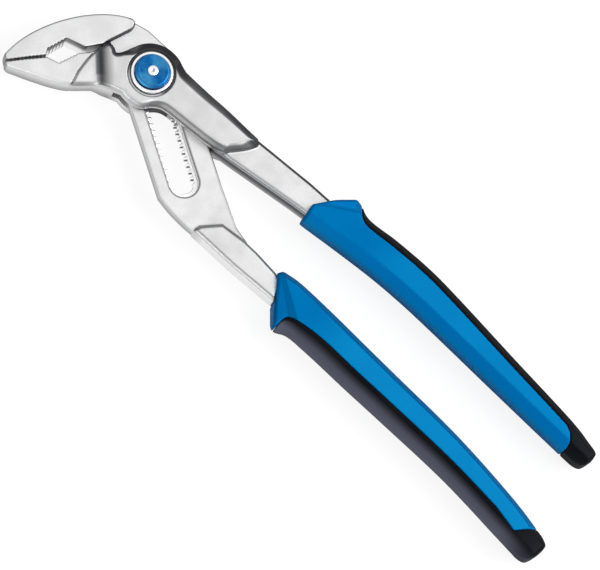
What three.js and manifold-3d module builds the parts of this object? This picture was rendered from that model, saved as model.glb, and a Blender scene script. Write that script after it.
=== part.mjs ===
// Push-button water pump pliers of the 250 mm class, lying on their back.
// Millimetres. X runs from the jaws to the grips, Y across the tool, Z up, towards the button.
// The origin is on the bolt axis, in the surface that the tool lies on.
import * as THREE from "three";
import { mergeVertices } from "three/addons/utils/BufferGeometryUtils.js";
import Module from "manifold-3d";

// Thicknesses, all centred on the middle of the joint
const HEAD_THICKNESS = 16;
const BLADE_THICKNESS = 5.6;
const JAW_THICKNESS = 10.4;
const SHANK_THICKNESS = 9.6;
const TANG_THICKNESS = 7;
const GRIP_THICKNESS = 16;

// Working gaps
const SIDE_CLEARANCE = 0.3; // blade to each cheek
const WINDOW_CLEARANCE = 0.9; // blade edges to the walls of the box joint
const BORE_CLEARANCE = 0.25; // turned pieces in their bores
const SEAT_GAP = 0.06; // pieces that sit on each other
const GRIP_GAP = 0.3; // between steel, shell and soft layer

// Forged edges
const CHEEK_BEVEL = 2.6;
const SHANK_BEVEL = 1.2;
const JAW_BEVEL = 0.6;
const BLADE_BEVEL = 0.5;

// Jaws: the parting line starts at the tip and climbs towards the joint
const JAW_TIP = [-41.3, -27.7];
const PARTING_ANGLE = 46;
const JAW_GAP = 0.4; // between the closed tip faces
const TIP_HEIGHT = 2.5; // upper jaw at its tip, square to the parting line
const LOWER_TIP_HEIGHT = 1.9;
const TIP_FACE_LENGTH = 13.9;
const MOUTH_LENGTH = 14.6;
const UPPER_APEX = [22, 5.2]; // deepest point of the upper mouth: along, above the parting line
const LOWER_APEX = [17.6, -2.7]; // deepest point of the lower mouth
const LOWER_RAMP_END = 24.4; // where the lower mouth is back on the parting line
const UPPER_STEP = 2; // the upper mouth starts with a step of this height
const UPPER_STEP_RUN = 0.7;
const HEEL_RELIEF = 1.7; // the upper jaw behind the mouth stands off the lower one
const HEEL_INSET = 1;
const TOOTH_PITCH = 1.2;
const TOOTH_DEPTH = 0.5;

// Slotted arm: the slot line runs through the bolt, down to the right
const SLOT_ANGLE = -34.5;
const SLOT_WIDTH = 10.3;
const SLOT_LENGTH = 38.5; // from the bolt at the smallest setting to the centre of the slot's end
const SLOT_START = 0.5; // the slot's other end, behind the bolt
const BLADE_ARM_SIDE = 12.2; // blade edge above the slot line
const BLADE_JAW_SIDE = 9.6; // blade edge below the slot line
const RACK_THICKNESS = 2.5; // toothed layer at the back of the slot
const RACK_ROOT_WIDTH = 8.8;
const RACK_TIP_WIDTH = 6.4;
const RACK_PITCH = 2.4;
const RACK_VALLEY = 1.6; // width of a valley at the tooth tips
const RACK_FLOOR = 0.9; // width of a valley at its floor
const RACK_END_WIDTH = 3.2;
const RACK_END_RUN = 1.2;
const FLANK_CLEARANCE = 0.12;

// Box joint and bolt
const OPENING_ANGLE = 36;
const BOSS_RADIUS = 11;
const BOSS_LOWER_RADIUS = 12.6;
const BOSS_ANGLES = [-108, -36, 66, 172]; // start and end of the boss's lower and upper arc
const FLANGE_DIAMETER = 10.8;
const FLANGE_THICKNESS = 2;
const BOLT_TEETH = 3; // on each side
const BOLT_NECK = 5.8;
const JOURNAL_DIAMETER = 10;
const JOURNAL_LENGTH = 1.35;
const STEM_DIAMETER = 4.6;
const RIVET_DIAMETER = 2.8;
const RIVET_HEAD_DIAMETER = 3.9;
const RIVET_FLAT_DIAMETER = 2.6;
const RIVET_HEAD_HEIGHT = 0.35;
const RELEASE_CLEARANCE = 0.3; // bolt teeth below the blade when the button is down
const RACK_RECESS = 0.2; // bolt teeth below the top of the rack when it is up

// Button stack
const GUIDE_LENGTH = 1.4; // cheek left under the spring chamber
const COLLAR_DIAMETER = 14.2;
const COLLAR_WALL = 0.6;
const COLLAR_EDGE = 0.35;
const COLLAR_RISE = 1;
const SEAT_DIAMETER = 16.6; // shallow recess round the collar
const SEAT_DEPTH = 0.9;
const BUTTON_HEIGHT = 3.1;
const BUTTON_RECESS = 1.3;
const BUTTON_SKIRT = 0.7;
const BUTTON_EDGE = 0.5;
const WASHER_THICKNESS = 0.6;
const SPRING_WIRE = 0.6;
const SPRING_TURNS = 3;
const SPRING_BASE_DIAMETER = 9.8;
const SPRING_TOP_DIAMETER = 6.2;

// Grips
const CHAMFER_WIDTH = 3.4;
const CHAMFER_DEPTH = 4.4;
const CHAMFER_SWELL = 0.55; // the chamfer bulges by this much
const SOFT_WIDTH = 4.3;
const SOFT_RUN_IN = 0.14; // share of the grip over which the soft strip reaches its width
const SOFT_LEAD = 0.0175; // share cut off that run-in, so that the strip has some width at its start
const END_DOME = 2.4;
const DOME_ANGLES = [30, 60];

// Steel outlines, as points [x, y] from the bolt axis
const UPPER_JAW_BACK = [[-42.6, -11], [-30, 7.5], [-17.3, 12]]; // one Bezier from the tip to the heel
const UPPER_JAW_HEEL = [[-15.6, 11.3], [-15.1, 9.2], [-16.1, 6.4], [-18.6, 0.4], [-19.2, -1.6]];
const BLADE_ROUND_END = 97; // angle at which the blade's round edge over the bolt ends
const BLADE_BACK_EDGE = [[-10.5, 12.8], [-17.5, 11.6]];
const LOWER_JAW_BACK = [[-9.4, -13.6], [-12.7, -15], [-19.4, -20.5], [-25, -23.5], [-31.7, -26.1]];
const NECK_ROOT = [[-5, -11], [-8, -4]]; // inside the boss
const NECK_TOP = [[-19.6, -4.9], [-18.1, -2.2], [-16.8, -0.9], [-14.9, -1.1], [-13.2, -2.6]];
const CHEEK_JAW_SIDE = [[-13.6, -1.9], [-18.4, -3.8], [-11.4, -14.4]];
const CHEEK_ARM_SIDE = [[11, -7], [31, -7], [37.6, -4.3], [43.4, 1.6], [43, 6.1], [9.8, 8.6]];
const UPPER_SHANK = [[28, -6.7], [39, -6], [66, -4.3], [79, -3.9], [79, 5], [66, 5.8], [43, 6.1], [28, 7.3]];
const UPPER_TANG = [
  [70, -3.6], [96, -3.2], [120, -4.3], [166, -8.9], [166, -4.5], [120, 1], [96, 2.6], [76, 4.6],
];
const LOWER_SHANK = [
  [44.7, -32.4], [45, -33.6], [63, -35], [81, -35.5], [81, -28], [75.2, -26.9],
  [66, -25.4], [60.4, -24.9], [51, -25.2], [45.2, -30.7],
];
const LOWER_TANG = [
  [74, -34.8], [94, -34.2], [120, -35.6], [172, -40.6], [172, -36.2], [120, -29.9], [94, -28.4], [80, -28.6],
];
const BLADE_FOOT = [[36, -32.8], [46, -33.4], [56, -31], [61.5, -24.6]];
const BLADE_TAPER_START = 44; // along the slot line, where the blade's upper edge starts to spread
const BLADE_TAPER_END = 58.5;
const BLADE_SPREAD = 0.4;
const BLADE_ROOT = 21; // the other way along the slot line, inside the upper jaw
const BLADE_CORNER = 41; // along the slot line, where the lower edge turns into the shank

// Grip outlines: inner and outer edge in matching pairs, then the front end and the colour break
const UPPER_GRIP = {
  inner: [[66, -5.9], [72, -5.7], [78, -5.4], [86, -5.1], [101, -4.9], [114, -5.7], [128, -7.1], [157, -10.5],
    [185, -13.1], [196.5, -13.9]],
  outer: [[81, 15], [82.8, 12], [86.3, 9.2], [91, 8.4], [101, 9], [116, 8.4], [130.5, 6.5], [158, 2],
    [185.5, -2.4], [196.5, -5.2]],
  front: [[71.6, -12], [70.5, -0.5], [75.3, 5.6], [82, 11.4], [90, 11.4]],
  softStart: 0.155, // share of the way along the edges, counted in points
  softEnd: 0.88,
  break: [[187, -4.4], [189.6, -9], [190.2, -15]],
  away: [[90, 22], [50, 22], [50, -12]],
};
const LOWER_GRIP = {
  inner: [[70, -26], [74, -25], [78.5, -24.5], [85.2, -24.2], [100, -25.5], [114.4, -27.1], [129, -28.7],
    [158, -31.9], [186, -37], [203, -41.6]],
  outer: [[85.5, -48], [86.9, -44.5], [90.5, -41.4], [95, -40.6], [103.5, -41], [118.4, -42.3],
    [133.5, -43.4], [163.6, -45.9], [190, -49.9], [202, -51.8]],
  front: [[79.5, -20], [75.8, -27.2], [81.2, -35.7], [86.4, -42.9], [94, -42.9]],
  softStart: 0.155,
  softEnd: 0.88,
  break: [[192.6, -46], [199, -38]],
  away: [[94, -60], [55, -60], [55, -20]],
};

// Facets
const GRIP_STEPS = 30;
const ROUND_STEPS = 48;
const ARC_STEPS = 12;
const SPRING_STEPS = 20; // to a turn
const WIRE_STEPS = 3; // to half of the wire's round
const SAME_POINT = 0.01; // outline points closer than this are one

// Levels
const MID = HEAD_THICKNESS / 2;
const BLADE_BACK = MID - BLADE_THICKNESS / 2;
const BLADE_FRONT = MID + BLADE_THICKNESS / 2;
const CHEEK_BACK_INNER = BLADE_BACK - SIDE_CLEARANCE;
const CHEEK_FRONT_INNER = BLADE_FRONT + SIDE_CLEARANCE;
const RACK_TOP = BLADE_BACK + RACK_THICKNESS;
const PRESS_TRAVEL = RACK_THICKNESS - RACK_RECESS + RELEASE_CLEARANCE;
const FLANGE_TOP = BLADE_BACK - RACK_RECESS;
const JOURNAL_BACK = CHEEK_FRONT_INNER - SIDE_CLEARANCE / 2;
const CHAMBER_FLOOR = CHEEK_FRONT_INNER + GUIDE_LENGTH;
const WASHER_TOP = CHAMBER_FLOOR + SEAT_GAP + WASHER_THICKNESS;
const BUTTON_BACK = WASHER_TOP + PRESS_TRAVEL + RACK_RECESS;
const BUTTON_CEILING = BUTTON_BACK + BUTTON_RECESS;
const BUTTON_TOP = BUTTON_BACK + BUTTON_HEIGHT;
const COLLAR_TOP = HEAD_THICKNESS + COLLAR_RISE;
const BUTTON_RADIUS = COLLAR_DIAMETER / 2 - COLLAR_WALL - BORE_CLEARANCE;
const OVERCUT = 1; // cutters reach this far past what they cut
const CUT_REACH = 16; // and this far outside the edges of a grip

const wasm = await Module();
wasm.setup();

const radians = THREE.MathUtils.degToRad;

// A closed three.js geometry as a solid for joining and cutting.
function solidOf(geometry) {
  const bare = new THREE.BufferGeometry().setAttribute("position", geometry.getAttribute("position"));
  return solidOfIndexed(mergeVertices(bare.setIndex(geometry.index)));
}

function solidOfIndexed(geometry) {
  return new wasm.Manifold(
    new wasm.Mesh({
      numProp: 3,
      vertProperties: new Float32Array(geometry.getAttribute("position").array),
      triVerts: new Uint32Array(geometry.index.array),
    }),
  );
}

function geometryOf(solid) {
  const mesh = solid.getMesh();
  const geometry = new THREE.BufferGeometry();
  geometry.setAttribute("position", new THREE.BufferAttribute(mesh.vertProperties, 3));
  geometry.setIndex(new THREE.BufferAttribute(mesh.triVerts, 1));
  const flat = geometry.toNonIndexed();
  flat.computeVertexNormals();
  return flat;
}

const join = (solids) => solids.reduce((whole, solid) => whole.add(solid));

// A point given along and above the slot line, through the bolt.
function slotPoint(along, above, angle = SLOT_ANGLE) {
  const c = Math.cos(radians(angle));
  const s = Math.sin(radians(angle));
  return [along * c - above * s, along * s + above * c];
}

// A point given along and above the parting line, from the jaw tip.
function jawPoint(along, above) {
  const [x, y] = slotPoint(along, above, PARTING_ANGLE);
  return [JAW_TIP[0] + x, JAW_TIP[1] + y];
}

const vectors = (points) => points.map(([x, y]) => new THREE.Vector2(x, y));
const outline = (points) => new THREE.Shape(vectors(points));
const spline = (points) => new THREE.SplineCurve(vectors(points));
const clockwise = (points) => THREE.ShapeUtils.isClockWise(vectors(points));
const anticlockwise = (points) => (clockwise(points) ? points.toReversed() : points);

// An anticlockwise outline moved outwards by a distance, with mitred corners.
function grown(points, distance) {
  const corners = vectors(points);
  return corners.map((corner, i) => {
    const into = corner.clone().sub(corners.at(i - 1)).normalize();
    const out = corners[(i + 1) % corners.length].clone().sub(corner).normalize();
    const mitre = new THREE.Vector2(into.y + out.y, -into.x - out.x);
    return corner.clone().addScaledVector(mitre, distance / (1 + into.dot(out))).toArray();
  });
}

// An outline with thickness, its edges bevelled on both faces inside the outline.
function plate(shape, back, front, bevel = 0) {
  const points = shape.getPoints(ARC_STEPS);
  const corners = points.filter((point, i) => point.distanceTo(points.at(i - 1)) > SAME_POINT);
  const geometry = new THREE.ExtrudeGeometry(new THREE.Shape(corners), {
    depth: front - back - 2 * bevel,
    bevelEnabled: bevel > 0,
    bevelSize: bevel,
    bevelThickness: bevel,
    bevelOffset: -bevel,
    bevelSegments: 1,
  });
  return solidOf(geometry.translate(0, 0, back + bevel));
}

const centredPlate = (shape, thickness, bevel = 0) =>
  plate(shape, MID - thickness / 2, MID + thickness / 2, bevel);

// A turned piece from a closed profile of [radius, height].
function turned(profile) {
  const points = profile.map(([r, z]) => new THREE.Vector2(r, z));
  return solidOf(new THREE.LatheGeometry(points, ROUND_STEPS).rotateX(Math.PI / 2));
}

const disc = (diameter, back, front) =>
  turned([[0, back], [diameter / 2, back], [diameter / 2, front], [0, front]]);

const ring = (outerDiameter, innerDiameter, back, front) =>
  turned([
    [innerDiameter / 2, back], [outerDiameter / 2, back], [outerDiameter / 2, front],
    [innerDiameter / 2, front], [innerDiameter / 2, back],
  ]);

// A row of V grooves along a gripping face from a to b, cut to the left of that direction.
function serrations(a, b) {
  const from = new THREE.Vector2(...a);
  const along = new THREE.Vector2(...b).sub(from);
  const count = Math.max(1, Math.floor(along.length() / TOOTH_PITCH));
  const step = along.clone().divideScalar(count);
  const into = new THREE.Vector2(-step.y, step.x).setLength(TOOTH_DEPTH);
  const points = [];
  for (let i = 0; i < count; i++) {
    points.push(from.clone().addScaledVector(step, i));
    points.push(from.clone().addScaledVector(step, i + 0.5).add(into));
  }
  const end = from.clone().add(along);
  points.push(end, end.clone().sub(into), from.clone().sub(into));
  return centredPlate(new THREE.Shape(points.reverse()), JAW_THICKNESS + 2 * OVERCUT);
}

// The way that the blade takes through the box joint at one opening angle.
function bladeWay(opened) {
  const reach = SLOT_LENGTH * 2;
  const jawSide = -BLADE_JAW_SIDE - WINDOW_CLEARANCE / 2;
  const armSide = BLADE_ARM_SIDE + WINDOW_CLEARANCE;
  const corners = [[-reach, jawSide], [reach, jawSide], [reach, armSide], [-reach, armSide]];
  const shape = outline(corners.map(([along, above]) => slotPoint(along, above, SLOT_ANGLE - opened)));
  return plate(shape, CHEEK_BACK_INNER, CHEEK_FRONT_INNER);
}

function cheekOutline() {
  const [lowerStart, lowerEnd, upperStart, upperEnd] = BOSS_ANGLES.map(radians);
  const shape = outline([slotPoint(BOSS_RADIUS, 0, BOSS_ANGLES[3]), ...CHEEK_JAW_SIDE]);
  shape.absarc(0, 0, BOSS_LOWER_RADIUS, lowerStart, lowerEnd, false);
  CHEEK_ARM_SIDE.forEach(([x, y]) => shape.lineTo(x, y));
  shape.absarc(0, 0, BOSS_RADIUS, upperStart, upperEnd, false);
  return shape;
}

function buttonArm() {
  const gap = -JAW_GAP / 2;
  const tipFace = [jawPoint(0, gap), jawPoint(TIP_FACE_LENGTH, gap)];
  const ramp = [jawPoint(...LOWER_APEX), jawPoint(LOWER_RAMP_END, gap)];
  const heel = jawPoint(TIP_FACE_LENGTH + MOUTH_LENGTH, gap);
  const jaw = outline([
    jawPoint(0, -LOWER_TIP_HEIGHT), ...LOWER_JAW_BACK.toReversed(), ...NECK_ROOT, ...NECK_TOP.toReversed(),
    heel, ...ramp.toReversed(), ...tipFace.toReversed(),
  ]);
  const body = join([
    centredPlate(jaw, JAW_THICKNESS, JAW_BEVEL),
    centredPlate(cheekOutline(), HEAD_THICKNESS, CHEEK_BEVEL),
    centredPlate(outline(UPPER_SHANK), SHANK_THICKNESS, SHANK_BEVEL),
    centredPlate(outline(UPPER_TANG), TANG_THICKNESS, SHANK_BEVEL),
  ]);
  const chamber = COLLAR_DIAMETER + 2 * SEAT_GAP;
  const guide = JOURNAL_DIAMETER + 2 * BORE_CLEARANCE;
  const cuts = [
    bladeWay(0),
    bladeWay(OPENING_ANGLE),
    disc(FLANGE_DIAMETER + 2 * BORE_CLEARANCE, -OVERCUT, CHEEK_BACK_INNER + OVERCUT),
    disc(guide, CHEEK_FRONT_INNER - OVERCUT, HEAD_THICKNESS + OVERCUT),
    disc(chamber, CHAMBER_FLOOR, HEAD_THICKNESS + OVERCUT),
    disc(SEAT_DIAMETER, HEAD_THICKNESS - SEAT_DEPTH, HEAD_THICKNESS + OVERCUT),
    serrations(tipFace[1], tipFace[0]),
    serrations(ramp[1], ramp[0]),
  ];
  return body.subtract(join(cuts));
}

// The rack: the slot's toothed layer, with a valley for a bolt tooth at every pitch.
function rackOutline() {
  const end = SLOT_LENGTH + RACK_TIP_WIDTH / 2;
  const start = -RACK_PITCH * (BOLT_TEETH / 2) - BORE_CLEARANCE;
  const upper = [];
  const tip = RACK_TIP_WIDTH / 2;
  const root = RACK_ROOT_WIDTH / 2;
  const first = Math.ceil((start + RACK_VALLEY / 2) / RACK_PITCH);
  const last = Math.floor(SLOT_LENGTH / RACK_PITCH);
  for (let i = first; i <= last; i++) {
    const u = i * RACK_PITCH;
    upper.push([u - RACK_VALLEY / 2, tip], [u - RACK_FLOOR / 2, root]);
    upper.push([u + RACK_FLOOR / 2, root], [u + RACK_VALLEY / 2, tip]);
  }
  const top = [[start, tip], ...upper, [end - RACK_END_RUN, tip], [end, RACK_END_WIDTH / 2]];
  const bottom = top.map(([u, v]) => [u, -v]);
  return outline([...bottom, ...top.toReversed()].map(([u, v]) => slotPoint(u, v)));
}

function slotOutline() {
  const shape = new THREE.Shape();
  const turn = radians(SLOT_ANGLE);
  shape.absarc(...slotPoint(SLOT_LENGTH, 0), SLOT_WIDTH / 2, turn - Math.PI / 2, turn + Math.PI / 2, false);
  shape.absarc(...slotPoint(-SLOT_START, 0), SLOT_WIDTH / 2, turn + Math.PI / 2, turn + 1.5 * Math.PI, false);
  shape.closePath();
  return shape;
}

function upperJawOutline() {
  const gap = JAW_GAP / 2;
  const heel = TIP_FACE_LENGTH + MOUTH_LENGTH;
  const shape = outline([
    jawPoint(0, TIP_HEIGHT), jawPoint(0, gap), jawPoint(TIP_FACE_LENGTH, gap),
    jawPoint(TIP_FACE_LENGTH + UPPER_STEP_RUN, UPPER_STEP), jawPoint(...UPPER_APEX),
    jawPoint(heel - HEEL_INSET, HEEL_RELIEF), ...UPPER_JAW_HEEL.toReversed(),
  ]);
  const [towardsTip, towardsHeel, heelTop] = UPPER_JAW_BACK;
  shape.lineTo(...heelTop);
  shape.bezierCurveTo(...towardsHeel, ...towardsTip, ...jawPoint(0, TIP_HEIGHT));
  return shape;
}

function bladeOutline() {
  const upperEdge = BLADE_ARM_SIDE + BLADE_SPREAD;
  const shape = outline([
    slotPoint(-BLADE_ROOT, -BLADE_JAW_SIDE), slotPoint(BLADE_CORNER, -BLADE_JAW_SIDE), ...BLADE_FOOT,
    slotPoint(BLADE_TAPER_END, upperEdge), slotPoint(BLADE_TAPER_START, BLADE_ARM_SIDE),
  ]);
  shape.absarc(0, 0, BLADE_ARM_SIDE, radians(SLOT_ANGLE + 90), radians(BLADE_ROUND_END), false);
  BLADE_BACK_EDGE.forEach(([x, y]) => shape.lineTo(x, y));
  return shape;
}

function slottedArm() {
  const body = join([
    centredPlate(upperJawOutline(), JAW_THICKNESS, JAW_BEVEL),
    centredPlate(bladeOutline(), BLADE_THICKNESS, BLADE_BEVEL),
    centredPlate(outline(LOWER_SHANK), SHANK_THICKNESS, SHANK_BEVEL),
    centredPlate(outline(LOWER_TANG), TANG_THICKNESS, SHANK_BEVEL),
  ]);
  const gap = JAW_GAP / 2;
  const cuts = [
    plate(slotOutline(), RACK_TOP, BLADE_FRONT + OVERCUT),
    plate(rackOutline(), BLADE_BACK - OVERCUT, RACK_TOP + OVERCUT),
    serrations(jawPoint(0, gap), jawPoint(TIP_FACE_LENGTH, gap)),
    serrations(jawPoint(TIP_FACE_LENGTH + UPPER_STEP_RUN, UPPER_STEP), jawPoint(...UPPER_APEX)),
  ];
  return body.subtract(join(cuts));
}

function toothedBolt() {
  const half = (BOLT_TEETH * RACK_PITCH) / 2 - FLANK_CLEARANCE;
  const rootHeight = BOLT_NECK / 2;
  const tipHeight = RACK_ROOT_WIDTH / 2 - FLANK_CLEARANCE * 2;
  const rootHalf = RACK_VALLEY / 2 - FLANK_CLEARANCE;
  const tipHalf = RACK_FLOOR / 2 - FLANK_CLEARANCE;
  const top = [[-half, rootHeight]];
  for (let i = 0; i < BOLT_TEETH; i++) {
    const u = (i - (BOLT_TEETH - 1) / 2) * RACK_PITCH;
    top.push([u - rootHalf, rootHeight], [u - tipHalf, tipHeight]);
    top.push([u + tipHalf, tipHeight], [u + rootHalf, rootHeight]);
  }
  top.push([half, rootHeight]);
  const bottom = top.map(([u, v]) => [u, -v]);
  const teeth = outline([...bottom, ...top.toReversed()].map(([u, v]) => slotPoint(u, v)));
  const rivetBase = BUTTON_CEILING - SEAT_GAP;
  const headBase = BUTTON_TOP + SEAT_GAP;
  const spindle = turned([
    [0, FLANGE_TOP - FLANGE_THICKNESS], [FLANGE_DIAMETER / 2, FLANGE_TOP - FLANGE_THICKNESS],
    [FLANGE_DIAMETER / 2, FLANGE_TOP], [BOLT_NECK / 2, FLANGE_TOP], [BOLT_NECK / 2, JOURNAL_BACK],
    [JOURNAL_DIAMETER / 2, JOURNAL_BACK], [JOURNAL_DIAMETER / 2, JOURNAL_BACK + JOURNAL_LENGTH],
    [STEM_DIAMETER / 2, JOURNAL_BACK + JOURNAL_LENGTH], [STEM_DIAMETER / 2, rivetBase],
    [RIVET_DIAMETER / 2, rivetBase], [RIVET_DIAMETER / 2, headBase], [RIVET_HEAD_DIAMETER / 2, headBase],
    [RIVET_FLAT_DIAMETER / 2, headBase + RIVET_HEAD_HEIGHT], [0, headBase + RIVET_HEAD_HEIGHT],
  ]);
  return spindle.add(plate(teeth, FLANGE_TOP - FLANGE_THICKNESS / 2, RACK_TOP - RACK_RECESS));
}

function buttonCollar() {
  const inner = COLLAR_DIAMETER / 2 - COLLAR_WALL;
  const lip = (COLLAR_DIAMETER + SEAT_DIAMETER) / 4; // halfway between the barrel and the recess wall
  const back = CHAMBER_FLOOR + SEAT_GAP;
  const lipBack = HEAD_THICKNESS - SEAT_DEPTH + SEAT_GAP;
  return turned([
    [inner, back], [COLLAR_DIAMETER / 2, back], [COLLAR_DIAMETER / 2, lipBack], [lip, lipBack],
    [lip, COLLAR_TOP - COLLAR_EDGE], [lip - COLLAR_EDGE, COLLAR_TOP], [inner, COLLAR_TOP], [inner, back],
  ]);
}

function pushButton() {
  const hole = RIVET_DIAMETER / 2 + SEAT_GAP;
  const skirt = BUTTON_RADIUS - BUTTON_SKIRT;
  return turned([
    [hole, BUTTON_CEILING], [skirt, BUTTON_CEILING], [skirt, BUTTON_BACK], [BUTTON_RADIUS, BUTTON_BACK],
    [BUTTON_RADIUS, BUTTON_TOP - BUTTON_EDGE], [BUTTON_RADIUS - BUTTON_EDGE, BUTTON_TOP], [hole, BUTTON_TOP],
    [hole, BUTTON_CEILING],
  ]);
}

// Conical spring, so that its turns lie inside each other when the button is down.
class SpringPath extends THREE.Curve {
  getPoint(t) {
    const angle = t * SPRING_TURNS * 2 * Math.PI;
    const radius = THREE.MathUtils.lerp(SPRING_BASE_DIAMETER, SPRING_TOP_DIAMETER, t) / 2;
    const low = WASHER_TOP + SEAT_GAP + SPRING_WIRE / 2;
    const high = BUTTON_CEILING - SEAT_GAP - SPRING_WIRE / 2;
    const z = THREE.MathUtils.lerp(low, high, t);
    return new THREE.Vector3(radius * Math.cos(angle), radius * Math.sin(angle), z);
  }
}

function returnSpring() {
  const wire = new THREE.Shape();
  wire.absarc(0, 0, SPRING_WIRE / 2, 0, 2 * Math.PI, false);
  const steps = SPRING_TURNS * SPRING_STEPS;
  const options = { steps, extrudePath: new SpringPath(), bevelEnabled: false, curveSegments: WIRE_STEPS };
  return solidOf(new THREE.ExtrudeGeometry(wire, options));
}

// One section of a grip: flat faces, flat sides and swelling chamfers, from the inner edge outwards.
function gripSection(width, height) {
  const half = height / 2;
  const side = half - CHAMFER_DEPTH;
  const middle = [CHAMFER_WIDTH / 2 - CHAMFER_SWELL, half - CHAMFER_DEPTH / 2 + CHAMFER_SWELL];
  const quarter = [[0, side], middle, [CHAMFER_WIDTH, half]];
  const front = [...quarter, ...quarter.toReversed().map(([s, z]) => [width - s, z])];
  return [...front, ...front.toReversed().map(([s, z]) => [s, -z])];
}

// A grip lofted between its two edges, with a domed end.
function gripBlank(grip) {
  const inner = spline(grip.inner);
  const outer = spline(grip.outer);
  const rings = [];
  for (let i = 0; i <= GRIP_STEPS; i++) {
    rings.push([inner.getPoint(i / GRIP_STEPS), outer.getPoint(i / GRIP_STEPS), GRIP_THICKNESS]);
  }
  const [lastInner, lastOuter] = rings.at(-1);
  const across = lastOuter.clone().sub(lastInner).normalize();
  const onward = inner.getTangent(1).add(outer.getTangent(1)).normalize();
  for (const angle of DOME_ANGLES) {
    const inset = CHAMFER_WIDTH * (1 - Math.cos(radians(angle)));
    const ahead = END_DOME * Math.sin(radians(angle));
    const a = lastInner.clone().addScaledVector(across, inset).addScaledVector(onward, ahead);
    const b = lastOuter.clone().addScaledVector(across, -inset).addScaledVector(onward, ahead);
    rings.push([a, b, GRIP_THICKNESS - 2 * inset]);
  }
  return loft(rings.map(([a, b, height]) => {
    const width = a.distanceTo(b);
    const unit = b.clone().sub(a).normalize();
    return gripSection(width, height).map(([s, z]) => [a.x + unit.x * s, a.y + unit.y * s, MID + z]);
  }));
}

// A closed skin through rings of equally many points, with a flat cap on each end.
function loft(rings) {
  const count = rings[0].length;
  const positions = rings.flat(2);
  const faces = [];
  for (let r = 0; r + 1 < rings.length; r++) {
    for (let i = 0; i < count; i++) {
      const a = r * count + i;
      const b = r * count + ((i + 1) % count);
      faces.push(a, b, a + count, b, b + count, a + count);
    }
  }
  const last = (rings.length - 1) * count;
  for (let i = 1; i + 1 < count; i++) {
    faces.push(0, i + 1, i, last, last + i, last + i + 1);
  }
  const geometry = new THREE.BufferGeometry();
  geometry.setAttribute("position", new THREE.Float32BufferAttribute(positions, 3));
  geometry.setIndex(faces);
  const solid = solidOfIndexed(geometry);
  return solid.volume() > 0 ? solid : solidOfIndexed(geometry.setIndex(faces.toReversed()));
}

// The region of the soft layer: outside the line that runs a strip's width inside the outer edge.
function softRegion(grip) {
  const inner = spline(grip.inner);
  const outer = spline(grip.outer);
  const line = [];
  const outside = [];
  for (let i = 0; i < GRIP_STEPS; i++) {
    const t = THREE.MathUtils.lerp(grip.softStart, grip.softEnd, i / GRIP_STEPS);
    const edge = outer.getPoint(t);
    const inward = inner.getPoint(t).sub(edge).normalize();
    const share = THREE.MathUtils.smoothstep(t, grip.softStart - SOFT_LEAD, grip.softStart + SOFT_RUN_IN);
    line.push(edge.clone().addScaledVector(inward, SOFT_WIDTH * share).toArray());
    outside.push(edge.clone().addScaledVector(inward, -CUT_REACH).toArray());
  }
  const onward = inner.getTangent(1).setLength(CUT_REACH);
  const across = outer.getPoint(1).sub(inner.getPoint(1)).setLength(CUT_REACH);
  const beyondInner = inner.getPoint(1).add(onward).sub(across).toArray();
  const beyondOuter = outer.getPoint(1).add(onward).add(across).toArray();
  return anticlockwise([...line, ...grip.break, beyondInner, beyondOuter, ...outside.toReversed()]);
}

// The two layers of one grip round its steel.
function gripLayers(grip, shank, tang) {
  const through = (points) => centredPlate(outline(points), GRIP_THICKNESS + 2 * OVERCUT);
  const blank = gripBlank(grip).subtract(through(anticlockwise([...grip.front, ...grip.away])));
  const region = softRegion(grip);
  const pocket = (points, thickness) =>
    centredPlate(outline(grown(points, GRIP_GAP)), thickness + 2 * GRIP_GAP, SHANK_BEVEL);
  const pockets = pocket(shank, SHANK_THICKNESS).add(pocket(tang, TANG_THICKNESS));
  const shell = blank.subtract(through(grown(region, GRIP_GAP))).subtract(pockets);
  return [shell, blank.intersect(through(region))];
}

const steel = new THREE.MeshStandardMaterial({ color: 0xd6d6d4, metalness: 1, roughness: 0.32 });
const polished = new THREE.MeshStandardMaterial({ color: 0xe8e8e8, metalness: 1, roughness: 0.15 });
const spring = new THREE.MeshStandardMaterial({ color: 0x9a9a98, metalness: 1, roughness: 0.3 });
const anodised = new THREE.MeshStandardMaterial({ color: 0x0a5cb0, metalness: 0.7, roughness: 0.3 });
const shellBlue = new THREE.MeshStandardMaterial({ color: 0x0082c4, metalness: 0, roughness: 0.45 });
const softBlack = new THREE.MeshStandardMaterial({ color: 0x1a1a1e, metalness: 0, roughness: 0.8 });

const [upperShell, upperSoft] = gripLayers(UPPER_GRIP, UPPER_SHANK, UPPER_TANG);
const [lowerShell, lowerSoft] = gripLayers(LOWER_GRIP, LOWER_SHANK, LOWER_TANG);

const washerHole = STEM_DIAMETER + 2 * BORE_CLEARANCE;
const washerRim = COLLAR_DIAMETER - 2 * COLLAR_WALL - 2 * BORE_CLEARANCE;
const pieces = {
  button_arm: [buttonArm(), steel],
  slotted_arm: [slottedArm(), steel],
  toothed_bolt: [toothedBolt(), polished],
  push_button: [pushButton(), anodised],
  button_collar: [buttonCollar(), polished],
  thrust_washer: [ring(washerRim, washerHole, CHAMBER_FLOOR + SEAT_GAP, WASHER_TOP), steel],
  return_spring: [returnSpring(), spring],
  upper_grip_shell: [upperShell, shellBlue],
  upper_grip_soft: [upperSoft, softBlack],
  lower_grip_shell: [lowerShell, shellBlue],
  lower_grip_soft: [lowerSoft, softBlack],
};

const pliers = new THREE.Group();
for (const [name, [solid, material]] of Object.entries(pieces)) {
  const mesh = new THREE.Mesh(geometryOf(solid), material);
  mesh.name = name;
  pliers.add(mesh);
}

export default pliers;
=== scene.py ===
import math
import bpy
import numpy as np
from mathutils import Matrix, Vector


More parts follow.
